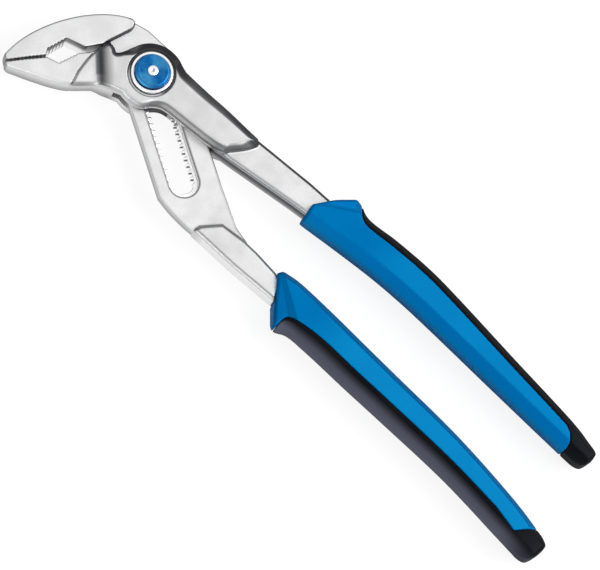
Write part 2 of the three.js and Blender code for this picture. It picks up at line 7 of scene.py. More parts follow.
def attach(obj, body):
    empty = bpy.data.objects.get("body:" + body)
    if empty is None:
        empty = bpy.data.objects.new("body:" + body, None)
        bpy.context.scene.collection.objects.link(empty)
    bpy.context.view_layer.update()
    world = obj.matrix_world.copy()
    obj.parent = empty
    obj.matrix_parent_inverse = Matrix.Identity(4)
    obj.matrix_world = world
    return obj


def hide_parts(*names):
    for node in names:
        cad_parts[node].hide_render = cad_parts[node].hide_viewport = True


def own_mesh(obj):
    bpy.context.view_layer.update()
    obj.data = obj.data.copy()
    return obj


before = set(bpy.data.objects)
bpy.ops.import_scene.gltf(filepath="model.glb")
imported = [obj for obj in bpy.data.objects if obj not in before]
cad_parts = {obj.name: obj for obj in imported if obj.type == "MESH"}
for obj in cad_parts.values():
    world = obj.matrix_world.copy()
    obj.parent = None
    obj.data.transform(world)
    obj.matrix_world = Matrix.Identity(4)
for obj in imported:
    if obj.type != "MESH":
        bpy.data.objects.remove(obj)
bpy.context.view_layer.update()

# Push-button water pump pliers, lying on their back. Sizes are in millimetres until a mesh is made.
MILLIMETRE = 0.001
MID = 8.0  # the middle of the joint, above the surface that the tool lies on

# Steps between sampled points of the forged and moulded forms
FINE = 0.24
COARSE = 0.8
GRIP_STEP = 0.36

# Half thicknesses
HEAD_HALF = 8.0
JAW_HALF = 5.2
NECK_HALF = 4.85
SHANK_HALF = 4.8
BLADE_HALF = 2.8
TANG_HALF = 3.5

# Jaws
JAW_TIP = (-41.3, -27.7)
PARTING_ANGLE = 46
JAW_GAP = 0.4
TIP_HEIGHT = 2.5
LOWER_TIP = [(0, -1.1), (0.3, -1.75), (0.9, -2.35)]
TIP_FACE_LENGTH = 13.9
MOUTH_LENGTH = 14.6
MOUTH_END = TIP_FACE_LENGTH + MOUTH_LENGTH
UPPER_APEX = (22, 5.2)
LOWER_APEX = (17.6, -2.7)
LOWER_RAMP_END = 24.4
UPPER_STEP = 2.0
UPPER_STEP_RUN = 0.7
HEEL_RELIEF = 1.7
HEEL_INSET = 1.0
TOOTH_PITCH = 1.2
TOOTH_DEPTH = 0.5
TIP_TOOTH_DEPTH = 0.22

# Slot and rack
SLOT_ANGLE = -34.5
SLOT_WIDTH = 10.3
SLOT_LENGTH = 38.5
SLOT_START = 0.5
BLADE_ARM_SIDE = 12.2
BLADE_JAW_SIDE = 9.6
RACK_TOP = 7.7
RACK_ROOT_WIDTH = 8.8
RACK_TIP_WIDTH = 6.4
RACK_PITCH = 2.4
RACK_VALLEY = 1.6
RACK_FLOOR = 0.9
RACK_START = 3.85
RACK_END_RUN = 1.2
RACK_END_HALF = 1.6

# Box joint
OPENING_ANGLE = 36
CHEEK_BACK_INNER = 4.9
CHEEK_FRONT_INNER = 11.1
WINDOW_CLEARANCE = 0.9
FLANGE_BORE = 5.65
GUIDE_BORE = 5.25
CHAMBER_BORE = 7.16
CHAMBER_FLOOR = 12.5
SEAT_RADIUS = 8.3
SEAT_FLOOR = 15.1


def resample(points, count=8):
    """A smooth open curve through points, with count points to each stretch."""
    p = np.asarray(points, float)
    ends = np.vstack([2 * p[0] - p[1], p, 2 * p[-1] - p[-2]])
    t = np.linspace(0, 1, count, endpoint=False)[:, None]
    out = []
    for a, b, c, d in zip(ends, ends[1:], ends[2:], ends[3:]):
        bend = (2 * a - 5 * b + 4 * c - d) * t**2 + (3 * b - a - 3 * c + d) * t**3
        out.append(b + 0.5 * ((c - a) * t + bend))
    return np.vstack(out + [p[-1:]])


def arc(radius, start, end, count=24, centre=(0, 0)):
    a = np.radians(np.linspace(start, end, count))
    return np.stack([centre[0] + radius * np.cos(a), centre[1] + radius * np.sin(a)], 1)


def edge_distances(points, x, y):
    """Squared distance and crossing mask of each segment."""
    p = np.asarray(points, float)
    for (ax, ay), (bx, by) in zip(p, p[1:]):
        ex, ey = bx - ax, by - ay
        length = ex * ex + ey * ey
        if length < 1e-9:
            continue
        wx, wy = x - ax, y - ay
        t = np.clip((wx * ex + wy * ey) / length, 0, 1)
        crossed = np.zeros(x.shape, bool)
        if abs(ey) > 1e-12:
            crossed = ((ay <= y) != (by <= y)) & (x < ax + wy * ex / ey)
        yield (wx - t * ex) ** 2 + (wy - t * ey) ** 2, crossed


def outline_distance(points, x, y):
    """Signed distance to a closed outline, negative inside."""
    closed = np.vstack([points, points[:1]])
    best = np.full(x.shape, np.inf)
    inside = np.zeros(x.shape, bool)
    for squared, crossed in edge_distances(closed, x, y):
        best = np.minimum(best, squared)
        inside ^= crossed
    return np.where(inside, -1.0, 1.0) * np.sqrt(best)


def line_distance(points, x, y):
    """Distance to an open line."""
    best = np.full(x.shape, np.inf)
    for squared, _ in edge_distances(points, x, y):
        best = np.minimum(best, squared)
    return np.sqrt(best)


def left_of(start, end, x, y):
    """Distance to the left of the way from start to end, negative on its right."""
    along = np.subtract(end, start) / np.linalg.norm(np.subtract(end, start))
    return (y - start[1]) * along[0] - (x - start[0]) * along[1]


def smax(a, b, r):
    """The larger of two fields, its edge rounded over about r."""
    h = np.maximum(r - np.abs(a - b), 0)
    return np.maximum(a, b) + h * h / (4 * r)


def smin(a, b, r):
    """The smaller of two fields, its corner filled over about r."""
    h = np.maximum(r - np.abs(a - b), 0)
    return np.minimum(a, b) - h * h / (4 * r)


def ease(value, start, end):
    t = np.clip((value - start) / (end - start), 0, 1)
    return t * t * (3 - 2 * t)


def layered(plan):
    """A plan's values, the same at each height."""
    return plan[..., None].astype(np.float32)


def fade(value, start, end):
    """1 up to the start, falling to 0 at the end."""
    return 1 - ease(value, start, end)


class Grid:
    """Points at which a form is sampled. Each axis is a list of (start, stop, step)."""

    def __init__(self, xs, ys, zs):
        self.lines = [np.concatenate([np.arange(*span) for span in spans]) for spans in (xs, ys, zs)]
        self.x, self.y = np.meshgrid(self.lines[0], self.lines[1], indexing="ij")
        self.z = self.lines[2][None, None, :].astype(np.float32)

    def thick(self, outline, half, edge):
        """A form inside an outline, half thick on both sides of the middle, with rounded edges."""
        half = np.broadcast_to(half, self.x.shape)
        slope = np.gradient(half, self.lines[0], self.lines[1])
        steep = np.sqrt(1 + np.minimum(slope[0] ** 2 + slope[1] ** 2, 4))
        face = (np.abs(self.z - MID) - layered(half)) / layered(steep)
        return smax(layered(outline), face, edge)

    def outline(self, points):
        return outline_distance(points, self.x, self.y)

    def slab(self, outline, back, front):
        return np.maximum(layered(outline), self.between(back, front))

    def between(self, back, front):
        """Distance beyond two heights, negative between them."""
        return np.abs(self.z - (back + front) / 2) - (front - back) / 2


def surface_net(field, lines):
    """Vertices and quads of the surface where a sampled field is zero."""
    cells_along = np.array(field.shape) - 1
    solid = field < 0
    corners = [(i, j, k) for i in (0, 1) for j in (0, 1) for k in (0, 1)]
    count = np.zeros(cells_along, np.int8)
    for corner in corners:
        count += solid[tuple(slice(c, n + c) for c, n in zip(corner, cells_along))]
    cells = np.argwhere((count > 0) & (count < 8))
    index = np.full(cells_along, -1, np.int64)
    index[tuple(cells.T)] = np.arange(len(cells))
    total = np.zeros((len(cells), 3))
    hits = np.zeros(len(cells))
    for corner in corners:
        for axis in range(3):
            if corner[axis]:
                continue
            far = np.array(corner)
            far[axis] = 1
            a = field[tuple((cells + corner).T)]
            b = field[tuple((cells + far).T)]
            crossing = (a < 0) != (b < 0)
            share = np.where(crossing, a / np.where(crossing, a - b, 1), 0)
            point = np.tile(np.array(corner, float), (len(cells), 1))
            point[:, axis] = share
            total += point * crossing[:, None]
            hits += crossing
    place = cells + total / hits[:, None]
    axes = [np.interp(place[:, i], np.arange(len(line)), line) for i, line in enumerate(lines)]
    quads = []
    for axis in range(3):
        low, high = [slice(1, -1)] * 3, [slice(1, -1)] * 3
        low[axis], high[axis] = slice(0, -1), slice(1, None)
        first, second = solid[tuple(low)], solid[tuple(high)]
        u, v = (axis + 1) % 3, (axis + 2) % 3
        for outward, mask in ((True, first & ~second), (False, ~first & second)):
            at = np.argwhere(mask)
            ring = []
            for du, dv in ((0, 0), (1, 0), (1, 1), (0, 1)):
                cell = at.copy()
                cell[:, u] += du
                cell[:, v] += dv
                ring.append(index[tuple(cell.T)])
            quads.append(np.stack(ring if outward else ring[::-1], 1))
    return np.stack(axes, 1), np.vstack(quads)


def turn(points, angle):
    c, s = math.cos(math.radians(angle)), math.sin(math.radians(angle))
    p = np.asarray(points, float)
    return np.stack([p[:, 0] * c - p[:, 1] * s, p[:, 0] * s + p[:, 1] * c], 1)


def slot_points(points):
    """Points given along and above the slot line."""
    return turn(points, SLOT_ANGLE)


def jaw_points(points):
    """Points given along and above the parting line, from the jaw tip."""
    return turn(points, PARTING_ANGLE) + np.array(JAW_TIP)


def toothed(start, end, depth):
    """A gripping edge with V grooves, along and above the parting line."""
    a, b = np.array(start, float), np.array(end, float)
    count = max(1, int(np.linalg.norm(b - a) / TOOTH_PITCH))
    way = (b - a) / np.linalg.norm(b - a)
    into = np.array([-way[1], way[0]]) * depth
    points = [a]
    for i in range(count):
        points += [a + (b - a) * (i + 0.5) / count + into, a + (b - a) * (i + 1) / count]
    return np.array(points)


# Outlines of the button arm, as points [x, y] from the bolt axis
LOWER_JAW_BACK = [(-31.7, -26.1), (-25, -23.5), (-19.4, -20.5), (-12.7, -15), (-9.4, -13.6)]
NECK_ROOT = [(-5, -11), (-8, -4)]
NECK_TOP = [
    (-12.9, -1.3), (-14.2, -1.5), (-15.2, -0.8), (-16.7, -0.3), (-18.0, -0.8), (-18.7, -2.2), (-19.6, -4.9),
]
NOSE = [(-10.9, 3.3), (-11.7, 1.5), (-12.7, -0.3), (-13.5, -1.25)]
JAW_STEP = [(-19.6, -4.5), (-19.95, -8.4), (-19.95, -11.8), (-19.8, -14.9), (-19.25, -17.6), (-18.6, -20.8)]
RAMP_BASE = [(-20.1, -5.4), (-12.3, -14.7)]
RAMP_RUN = 5.4
RAMP_HOLLOW = 2.2
STEP_GROOVE = 0.3
STEP_GROOVE_WIDTH = 0.6
LOWER_JAW_ROUND = 1.4
LOWER_ROUND_SHARE = 0.65
TIP_ROUND = 0.8
TIP_THINNER = 0.7
TIP_TAPER = 9
BACK_TRIM = 2.2
BACK_TRIM_OVER = 0.3
NECK_END = (-3.8, -11.8)
BOSS_TO_ARM = [(4.6, -11.3), (5.7, -10.2), (6.9, -8.9), (8.5, -7.7), (10.2, -7.0), (12.4, -6.7)]
ARM_LOWER_EDGE = [(15.8, -6.7), (22, -6.75), (30.5, -6.6), (35.6, -5.7)]
PANEL_END = [(37.4, -3.9), (40.2, -1.0), (42.3, 1.6), (43.4, 3.8), (42.4, 5.8)]
ARM_UPPER_EDGE = [(42.0, 6.0), (29, 7.0), (20, 7.5), (8.9, 8.5)]
BOSS_RADIUS = 11.2
BOSS_LOWER_RADIUS = 12.4
UPPER_BEVEL = 3.2
ARM_BEVEL = 2.5
UPPER_BEVEL_SLOPE = 0.65
LOWER_BEVEL = 1.7
BOSS_LOWER_BEVEL = 1.1
UPPER_SHANK = [(28, -6.5), (39, -6), (66, -4.3), (79, -3.9), (79, 5), (66, 5.8), (43, 6.1), (28, 6.4)]
UPPER_TANG = [(70, -3.6), (96, -3.2), (120, -4.3), (166, -8.9), (166, -4.5), (120, 1), (96, 2.6), (76, 4.6)]
SHANK_BEVEL = 1.1

# Outlines of the slotted arm
UPPER_JAW_BACK = [(-42.6, -11), (-30, 7.5), (-17.3, 12)]
UPPER_JAW_HEEL = [(-17.3, 12), (-15.6, 11.3), (-15.1, 9.2), (-16.1, 6.4), (-18.6, 0.4), (-19.2, -1.6)]
UPPER_JAW_ROUND = 0.9
BLADE_BACK_EDGE = [(-10.5, 12.8), (-17.5, 11.6)]
BLADE_FOOT = [(36, -32.8), (46, -33.4), (56, -31), (61.5, -24.6)]
BLADE_TAPER_START = 44
BLADE_TAPER_END = 58.5
BLADE_SPREAD = 0.4
BLADE_ROOT = 21
BLADE_CORNER = 41
BLADE_ROUND_END = 97
LOWER_SHANK = [
    (44.7, -32.4), (45, -33.6), (63, -35), (81, -35.5), (81, -28), (75.2, -26.9),
    (66, -25.4), (60.4, -24.9), (51, -25.2), (45.2, -30.7),
]
LOWER_TANG = [
    (74, -34.8), (94, -34.2), (120, -35.6), (172, -40.6),
    (172, -36.2), (120, -29.9), (94, -28.4), (80, -28.6),
]

# Widths over which edges are rounded and corners filled
JAW_EDGE = 0.6
CHEEK_EDGE = 0.5
SHANK_EDGE = 0.4
TANG_EDGE = 0.8
BORE_EDGE = 0.25
SLOT_EDGE = 0.3
BEVEL_EDGE = 0.8
JAW_TO_BOSS = 0.9
BOSS_TO_SHANK = 0.7
JAW_TO_BLADE = 0.4
BLADE_TO_SHANK = 0.6

# Heights well past both faces of the tool, where cuts begin and end
PAST_BACK = -5
PAST_FRONT = 25


def bezier(a, b, c, d, count=40):
    t = np.linspace(0, 1, count)[:, None]
    a, b, c, d = (np.asarray(p, float) for p in (a, b, c, d))
    return a * (1 - t) ** 3 + 3 * b * t * (1 - t) ** 2 + 3 * c * t**2 * (1 - t) + d * t**3


def round_over(inside, radius):
    """Drop of a face at this distance inside a rounded edge."""
    short = np.clip(radius - inside, 0, radius)
    return radius - np.sqrt(radius**2 - short**2)


def lower_jaw_outline():
    gap = -JAW_GAP / 2
    tip = toothed((TIP_FACE_LENGTH, gap), (0, gap), TIP_TOOTH_DEPTH)
    ramp = toothed((LOWER_RAMP_END, gap), LOWER_APEX, TOOTH_DEPTH)
    face = jaw_points(np.vstack([[(MOUTH_END, gap)], ramp, tip, LOWER_TIP]))
    back = resample(LOWER_JAW_BACK)
    return np.vstack([face, back, NECK_ROOT, resample(NECK_TOP)])


def lower_edge_line():
    """The lower edge from the jaw tip to the boss."""
    return np.vstack([jaw_points(LOWER_TIP), resample(LOWER_JAW_BACK + [NECK_END])])


def lower_round(x, y):
    """Drop of the faces towards the lower edge of jaw and neck, rounder in the middle."""
    radius = TIP_ROUND + (LOWER_JAW_ROUND - TIP_ROUND) * ease(x, -38, -28) * fade(x, -9, -4)
    short = np.clip(radius - line_distance(lower_edge_line(), x, y), 0, radius)
    return LOWER_ROUND_SHARE * short**2 / radius


def from_tip(x, y):
    """Distance from the jaw tip, along the parting line."""
    way = turn([(1, 0)], PARTING_ANGLE)[0]
    return (x - JAW_TIP[0]) * way[0] + (y - JAW_TIP[1]) * way[1]


def tip_taper(x, y):
    """How much thinner the jaws are towards their tips."""
    return TIP_THINNER * fade(from_tip(x, y), 0, TIP_TAPER)


def cheek_outline():
    nose = resample(NOSE + NECK_TOP[1:])
    return np.vstack([
        arc(BOSS_RADIUS, 64, 158, 48), nose, RAMP_BASE, arc(BOSS_LOWER_RADIUS, -108, -74, 18),
        resample(BOSS_TO_ARM + ARM_LOWER_EDGE + PANEL_END, 6), resample(ARM_UPPER_EDGE, 6),
    ])


def blade_way(opened, x, y):
    reach = 2 * SLOT_LENGTH
    low, high = -BLADE_JAW_SIDE - WINDOW_CLEARANCE / 2, BLADE_ARM_SIDE + WINDOW_CLEARANCE
    corners = [(-reach, low), (reach, low), (reach, high), (-reach, high)]
    return outline_distance(turn(corners, SLOT_ANGLE - opened), x, y)


def bevel_width(x, y):
    """Width of the bevel round the boss and the arm, which is wider on the outer side."""
    upper = UPPER_BEVEL - (UPPER_BEVEL - ARM_BEVEL) * ease(x, 8, 34)
    width = LOWER_BEVEL + (upper - LOWER_BEVEL) * ease(y, -1.5, 3)
    return width - (LOWER_BEVEL - BOSS_LOWER_BEVEL) * ease(-y, 3, 9) * ease(-x, -11, -3)


def ramp_climb(x, y):
    """Way up the hollow ramp from the neck, where 1 is the boss."""
    return left_of(*RAMP_BASE, x, y) / RAMP_RUN


def shank_and_tang(g, shank_outline, tang_outline):
    """The bevelled shank of an arm and the tang inside its grip."""
    edge = g.outline(shank_outline)
    shank = g.thick(edge, smin(SHANK_HALF, SHANK_HALF - SHANK_BEVEL - edge, SHANK_EDGE), SHANK_EDGE)
    return shank, g.thick(g.outline(tang_outline), TANG_HALF, TANG_EDGE)


def button_arm_form():
    g = Grid([(-43, 46, FINE), (46, 168, COARSE)], [(-31, 13, FINE)], [(-0.7, 16.9, FINE)])
    x, y = g.x, g.y
    jaw_edge = g.outline(lower_jaw_outline())
    step_line = g.outline(np.vstack([resample(JAW_STEP), [(0, -30), (0, 0)]]))
    jaw_half = JAW_HALF - (JAW_HALF - NECK_HALF) * ease(-step_line, -0.15, 0.3)
    jaw_half = jaw_half - lower_round(x, y) - tip_taper(x, y)
    groove = fade(line_distance(resample(JAW_STEP), x, y), 0, STEP_GROOVE_WIDTH)
    jaw = g.thick(jaw_edge, jaw_half - STEP_GROOVE * groove, JAW_EDGE)

    cheek_edge = g.outline(cheek_outline())
    slope = 1 - (1 - UPPER_BEVEL_SLOPE) * ease(y, -1.5, 3) * fade(x, 24, 40)
    half = smin(HEAD_HALF, HEAD_HALF - slope * (bevel_width(x, y) + cheek_edge), BEVEL_EDGE)
    climb = ramp_climb(x, y)
    risen = 1 - (1 - np.clip(climb, 0, 1)) ** RAMP_HOLLOW
    ramp = NECK_HALF + (HEAD_HALF - NECK_HALF) * risen + ease(climb, 0.8, 1.3)
    half = smin(half, ramp, BEVEL_EDGE)
    half = half - lower_round(x, y) * fade(x, -6, -3)
    cheek = g.thick(cheek_edge, half, CHEEK_EDGE)
    trim = BACK_TRIM * ease(x, 1, 11) * fade(x, 20, 27) * fade(y, -4, -1)
    cut_back = np.maximum(g.z - CHEEK_BACK_INNER - BACK_TRIM_OVER, -layered(cheek_edge + trim))
    cheek = smax(cheek, -cut_back, SHANK_EDGE)

    shank, tang = shank_and_tang(g, UPPER_SHANK, UPPER_TANG)
    solid = smin(smin(jaw, cheek, JAW_TO_BOSS), np.minimum(shank, tang), BOSS_TO_SHANK)

    radius = np.hypot(x, y)
    way = np.minimum(blade_way(0, x, y), blade_way(OPENING_ANGLE, x, y))
    cuts = [
        g.slab(way, CHEEK_BACK_INNER, CHEEK_FRONT_INNER),
        g.slab(radius - FLANGE_BORE, PAST_BACK, CHEEK_BACK_INNER + 1),
        g.slab(radius - GUIDE_BORE, CHEEK_FRONT_INNER - 1, PAST_FRONT),
        g.slab(radius - CHAMBER_BORE, CHAMBER_FLOOR, PAST_FRONT),
        g.slab(radius - SEAT_RADIUS, SEAT_FLOOR, PAST_FRONT),
    ]
    for cut in cuts:
        solid = smax(solid, -cut, BORE_EDGE)
    return surface_net(solid, g.lines)


def upper_jaw_back():
    towards_tip, towards_heel, heel_top = UPPER_JAW_BACK
    return bezier(heel_top, towards_heel, towards_tip, jaw_points([(0, TIP_HEIGHT)])[0])


def upper_jaw_outline():
    gap = JAW_GAP / 2
    slope_start = (TIP_FACE_LENGTH + UPPER_STEP_RUN, UPPER_STEP)
    face = np.vstack([
        [(0, TIP_HEIGHT)], toothed((0, gap), (TIP_FACE_LENGTH, gap), TIP_TOOTH_DEPTH),
        toothed(slope_start, UPPER_APEX, TOOTH_DEPTH), [(MOUTH_END - HEEL_INSET, HEEL_RELIEF)],
    ])
    return np.vstack([jaw_points(face), resample(UPPER_JAW_HEEL[::-1]), upper_jaw_back()])


def blade_outline():
    spread = BLADE_ARM_SIDE + BLADE_SPREAD
    straight = slot_points([(-BLADE_ROOT, -BLADE_JAW_SIDE), (BLADE_CORNER, -BLADE_JAW_SIDE)])
    upper = slot_points([(BLADE_TAPER_END, spread), (BLADE_TAPER_START, BLADE_ARM_SIDE)])
    over = arc(BLADE_ARM_SIDE, SLOT_ANGLE + 90, BLADE_ROUND_END)
    foot = resample([straight[1]] + BLADE_FOOT, 6)
    return np.vstack([straight[:1], foot, upper, over, BLADE_BACK_EDGE])


def teeth_line(first, count, foot_half, foot, crest_half, crest):
    """Teeth at the pitch of the rack, along and above the slot line."""
    points = []
    for i in range(count):
        u = (first + i) * RACK_PITCH
        points += [(u - foot_half, foot), (u - crest_half, crest)]
        points += [(u + crest_half, crest), (u + foot_half, foot)]
    return points


def rack_outline():
    tip = RACK_TIP_WIDTH / 2
    end = SLOT_LENGTH + tip
    count = int(SLOT_LENGTH / RACK_PITCH) + 2
    gaps = teeth_line(-1, count, RACK_VALLEY / 2, tip, RACK_FLOOR / 2, RACK_ROOT_WIDTH / 2)
    top = np.array([(-RACK_START, tip)] + gaps + [(end - RACK_END_RUN, tip), (end, RACK_END_HALF)])
    return slot_points(np.vstack([top * (1, -1), top[::-1]]))


def slot_outline():
    half = SLOT_WIDTH / 2
    return slot_points(np.vstack([
        arc(half, -90, 90, 30, (SLOT_LENGTH, 0)), arc(half, 90, 270, 30, (-SLOT_START, 0)),
    ]))


def slotted_arm_form():
    g = Grid([(-45, 66, FINE), (66, 174, COARSE)], [(-42.5, 14.5, FINE)], [(2.1, 14, FINE)])
    x, y = g.x, g.y
    jaw_half = JAW_HALF - round_over(line_distance(upper_jaw_back(), x, y), UPPER_JAW_ROUND) - tip_taper(x, y)
    jaw = g.thick(g.outline(upper_jaw_outline()), jaw_half, JAW_EDGE)
    blade = g.thick(g.outline(blade_outline()), BLADE_HALF, CHEEK_EDGE)
    shank, tang = shank_and_tang(g, LOWER_SHANK, LOWER_TANG)
    solid = np.minimum(smin(jaw, blade, JAW_TO_BLADE), tang)
    solid = smin(solid, shank, BLADE_TO_SHANK)
    for cut in (
        g.slab(g.outline(slot_outline()), RACK_TOP, PAST_FRONT),
        g.slab(g.outline(rack_outline()), PAST_BACK, RACK_TOP + 1),
    ):
        solid = smax(solid, -cut, SLOT_EDGE)
    return surface_net(solid, g.lines)


# Grips: inner and outer edge in matching pairs, the front end and the colour break
UPPER_GRIP = {
    "inner": [(66, -6.4), (72, -6.3), (78, -6.1), (86, -5.8), (101, -5.5), (114, -5.9), (128, -7.0),
              (157, -9.9), (185, -12.6), (196.5, -13.6)],
    "outer": [(82.6, 15), (84.2, 12), (87.5, 9.4), (91.7, 8.7), (101, 9), (116, 8.4), (130.5, 6.5), (158, 2),
              (185.5, -2.4), (196.5, -5.2)],
    "front": [(71.6, -12), (70.5, -0.5), (75.3, 5.6), (82, 11.4), (90, 11.4)],
    "creases": [((73.5, 0.6), (84.6, 6.6), 0.35)],
    "soft_width": 3.7,
    "run_in": 0.24,
    "away": [(90, 22), (50, 22), (50, -12)],
    "break": [(185, -6.0), (187.5, -7.4), (189.6, -10.2), (190.1, -12.3), (189.4, -15.5)],
    "box": ((68, 201.5), (-16, 14)),
    "steel": ((UPPER_SHANK, SHANK_HALF), (UPPER_TANG, TANG_HALF)),
}
LOWER_GRIP = {
    "inner": [(70, -26), (74, -25), (78.5, -24.5), (85.2, -24.2), (100, -25.5), (114.4, -27.1), (129, -28.7),
              (158, -31.9), (186, -37), (203, -41.6)],
    "outer": [(85.5, -48), (86.9, -44.5), (90.5, -41.4), (95, -40.6), (103.5, -41), (118.4, -42.3),
              (133.5, -43.4), (163.6, -45.9), (190, -49.9), (202, -51.8)],
    "front": [(79.5, -20), (75.8, -27.2), (81.2, -35.7), (86.4, -42.9), (94, -42.9)],
    "creases": [((90.8, -35.8), (78.7, -26.8), 0.36), ((88.9, -37.5), (80.7, -30.3), 0.2)],
    "soft_width": 5.0,
    "run_in": 0.14,
    "away": [(94, -60), (55, -60), (55, -20)],
    "break": [(192.2, -46.9), (194, -45.2), (200, -39.5)],
    "box": ((73, 207.5), (-55, -21)),
    "steel": ((LOWER_SHANK, SHANK_HALF), (LOWER_TANG, TANG_HALF)),
}
GRIP_HALF = 8.0
SOFT_START = 0.095
SOFT_END = 0.86
SOFT_LEAD = 0.0175
END_DOME = 2.4
END_ROUND = 4.6
END_ROUND_OVER = 4.0
GRIP_SIDE_HALF = 3.7
GRIP_CHAMFER_SLOPE = 1.27
GRIP_GAP = 0.3
GRIP_EDGE = 0.9
GRIP_BEYOND = 20
FRONT_CORNER = 0.7
CHAMFER_EDGE = 0.5
END_EDGE = 1.0
CREASE_EDGE = 0.4
SEAM = 0.07
SEAM_EDGE = 0.45
PIECES_PER_STRETCH = 40


def grip_place(inner, outer, x, y):
    """How far points in a grip are from its inner and from its outer edge."""
    steps = np.arange(len(inner), dtype=float)
    low, high = np.zeros(x.shape), np.full(x.shape, steps[-1])

    def at(line, t):
        return np.interp(t, steps, line[:, 0]), np.interp(t, steps, line[:, 1])

    for _ in range(18):
        t = (low + high) / 2
        (ix, iy), (ox, oy) = at(inner, t), at(outer, t)
        ahead = np.sign(np.cross(outer[0] - inner[0], inner[-1] - inner[0]))
        beyond = ahead * ((ox - ix) * (y - iy) - (oy - iy) * (x - ix)) > 0
        low, high = np.where(beyond, t, low), np.where(beyond, high, t)
    (ix, iy), (ox, oy) = at(inner, t), at(outer, t)
    width = np.hypot(ox - ix, oy - iy)
    from_inner = ((x - ix) * (ox - ix) + (y - iy) * (oy - iy)) / width
    return from_inner, width - from_inner


def crease_drop(creases, x, y):
    """How far the front end of a grip falls away beyond its creases."""
    drop = np.zeros(x.shape)
    for start, end, slope in creases:
        drop += slope * smax(left_of(start, end, x, y), 0, CREASE_EDGE)
    return drop


def soft_line(inner, outer, width, run_in):
    """The line between shell and soft layer, a strip's width inside the outer edge."""
    last = len(outer) - 1
    t = np.linspace(SOFT_START, SOFT_END, 60)
    steps = np.arange(last + 1)
    i, o = (np.stack([np.interp(t * last, steps, c) for c in line.T], 1) for line in (inner, outer))
    inward = (i - o) / np.linalg.norm(i - o, axis=1)[:, None]
    share = ease(t, SOFT_START - SOFT_LEAD, SOFT_START + run_in)[:, None]
    return o + inward * width * share, o - inward * GRIP_BEYOND


def grip_forms(grip):
    (x0, x1), (y0, y1) = grip["box"]
    g = Grid([(x0, x1, GRIP_STEP)], [(y0, y1, GRIP_STEP)], [(-0.9, 17, GRIP_STEP)])
    x, y = g.x, g.y
    inner = resample(grip["inner"], PIECES_PER_STRETCH)
    outer = resample(grip["outer"], PIECES_PER_STRETCH)
    onward = inner[-1] - inner[-2] + outer[-1] - outer[-2]
    onward = onward / np.linalg.norm(onward)
    end = inner[-1] + onward * END_DOME
    across = outer[-1] - inner[-1]
    beyond = [inner[-1] + onward * GRIP_BEYOND, outer[-1] + onward * GRIP_BEYOND]
    plan = g.outline(np.vstack([inner, beyond, outer[::-1]]))
    front = g.outline(grip["front"] + grip["away"])
    from_inner, from_outer = grip_place(inner, outer, x, y)
    from_end = (end[0] - x) * onward[0] + (end[1] - y) * onward[1]

    def side(a):
        return GRIP_SIDE_HALF + GRIP_CHAMFER_SLOPE * np.maximum(a, 0)

    half = smin(smin(GRIP_HALF, side(from_inner), CHAMFER_EDGE), side(from_outer), CHAMFER_EDGE)
    half = half - crease_drop(grip["creases"], x, y)
    half = smin(half, GRIP_HALF - round_over(np.maximum(from_end, 0), END_ROUND_OVER), END_EDGE)
    edge = smax(smax(plan, -from_end, END_ROUND), -front, FRONT_CORNER)
    blank = g.thick(edge, half, GRIP_EDGE)
    line, outside = soft_line(inner, outer, grip["soft_width"], grip["run_in"])
    far = [beyond[0] - across, beyond[1] + across]
    region = layered(g.outline(np.vstack([line, grip["break"], far, outside[::-1]])))
    soft = smax(blank, region + SEAM, SEAM_EDGE)
    shell = smax(blank, SEAM - region, SEAM_EDGE)
    pocket = np.minimum(*[
        g.thick(g.outline(points) - GRIP_GAP, half_steel + GRIP_GAP, SLOT_EDGE)
        for points, half_steel in grip["steel"]
    ])
    shell = np.maximum(shell, -pocket)
    return surface_net(shell, g.lines), surface_net(soft, g.lines)


# Turned pieces, as profiles of (radius, height)
TURN_STEPS = 128
FILLET_SHARE = 0.45
CONTACT_GAP = 0.06
COLLAR_INNER = 6.25
COLLAR_OUTER = 7.1
COLLAR_LIP = 7.3
COLLAR_BACK = CHAMBER_FLOOR + CONTACT_GAP
COLLAR_LIP_BACK = SEAT_FLOOR + 0.1
COLLAR_TOP = 17.05
COLLAR_CHAMFER = 0.35
COLLAR_EDGE = 0.15
BUTTON_RADIUS = 6.05
BUTTON_BACK = 15.96
BUTTON_CEILING = 17.26
BUTTON_TOP = 19.06
BUTTON_SKIRT = 5.4
BUTTON_FACE = 5.15
BUTTON_HOLE = 1.46
BUTTON_SHOULDER = BUTTON_TOP - 0.75
BUTTON_DISH_RIM = (BUTTON_FACE - 0.5, BUTTON_TOP - 0.1)
BUTTON_DISH_FLOOR = BUTTON_TOP - 0.25
BUTTON_EDGE = 0.3
WASHER_HOLE = 2.55
WASHER_RIM = 6.1
WASHER_BACK = CHAMBER_FLOOR + CONTACT_GAP
WASHER_TOP = 13.16
WASHER_EDGE = 0.1

# Bolt
BOLT_SPAN = (-6, 6.1, 0.16)
BOLT_HEIGHTS = (2.6, 20, 0.12)
BOLT_EDGE = 0.3
FLANGE_RADIUS = 5.4
FLANGE_BACK = 3.0
FLANGE_TOP = 5.0
BOLT_NECK_RADIUS = 2.9
JOURNAL_RADIUS = 5.0
JOURNAL_BACK = 10.95
JOURNAL_TOP = 12.3
STEM_RADIUS = 2.3
RIVET_RADIUS = 1.4
RIVET_HEAD_RADIUS = 1.95
RIVET_TOP = 19.5
RIVET_SHAFT_TOP = RIVET_TOP - 0.3
RIVET_DOME = 4.2
DIMPLE_RADIUS = 1.1
DIMPLE_RISE = 0.75
DRILL_RADIUS = 1.7
DRILL_DROP = 0.9
BOLT_TEETH = 3
BOLT_TOOTH_TOP = 7.5
BOLT_TOOTH_ROOT = 0.66
BOLT_TOOTH_TIP = 0.33
BOLT_TOOTH_GAP = 0.25
BOLT_TEETH_END = 0.2

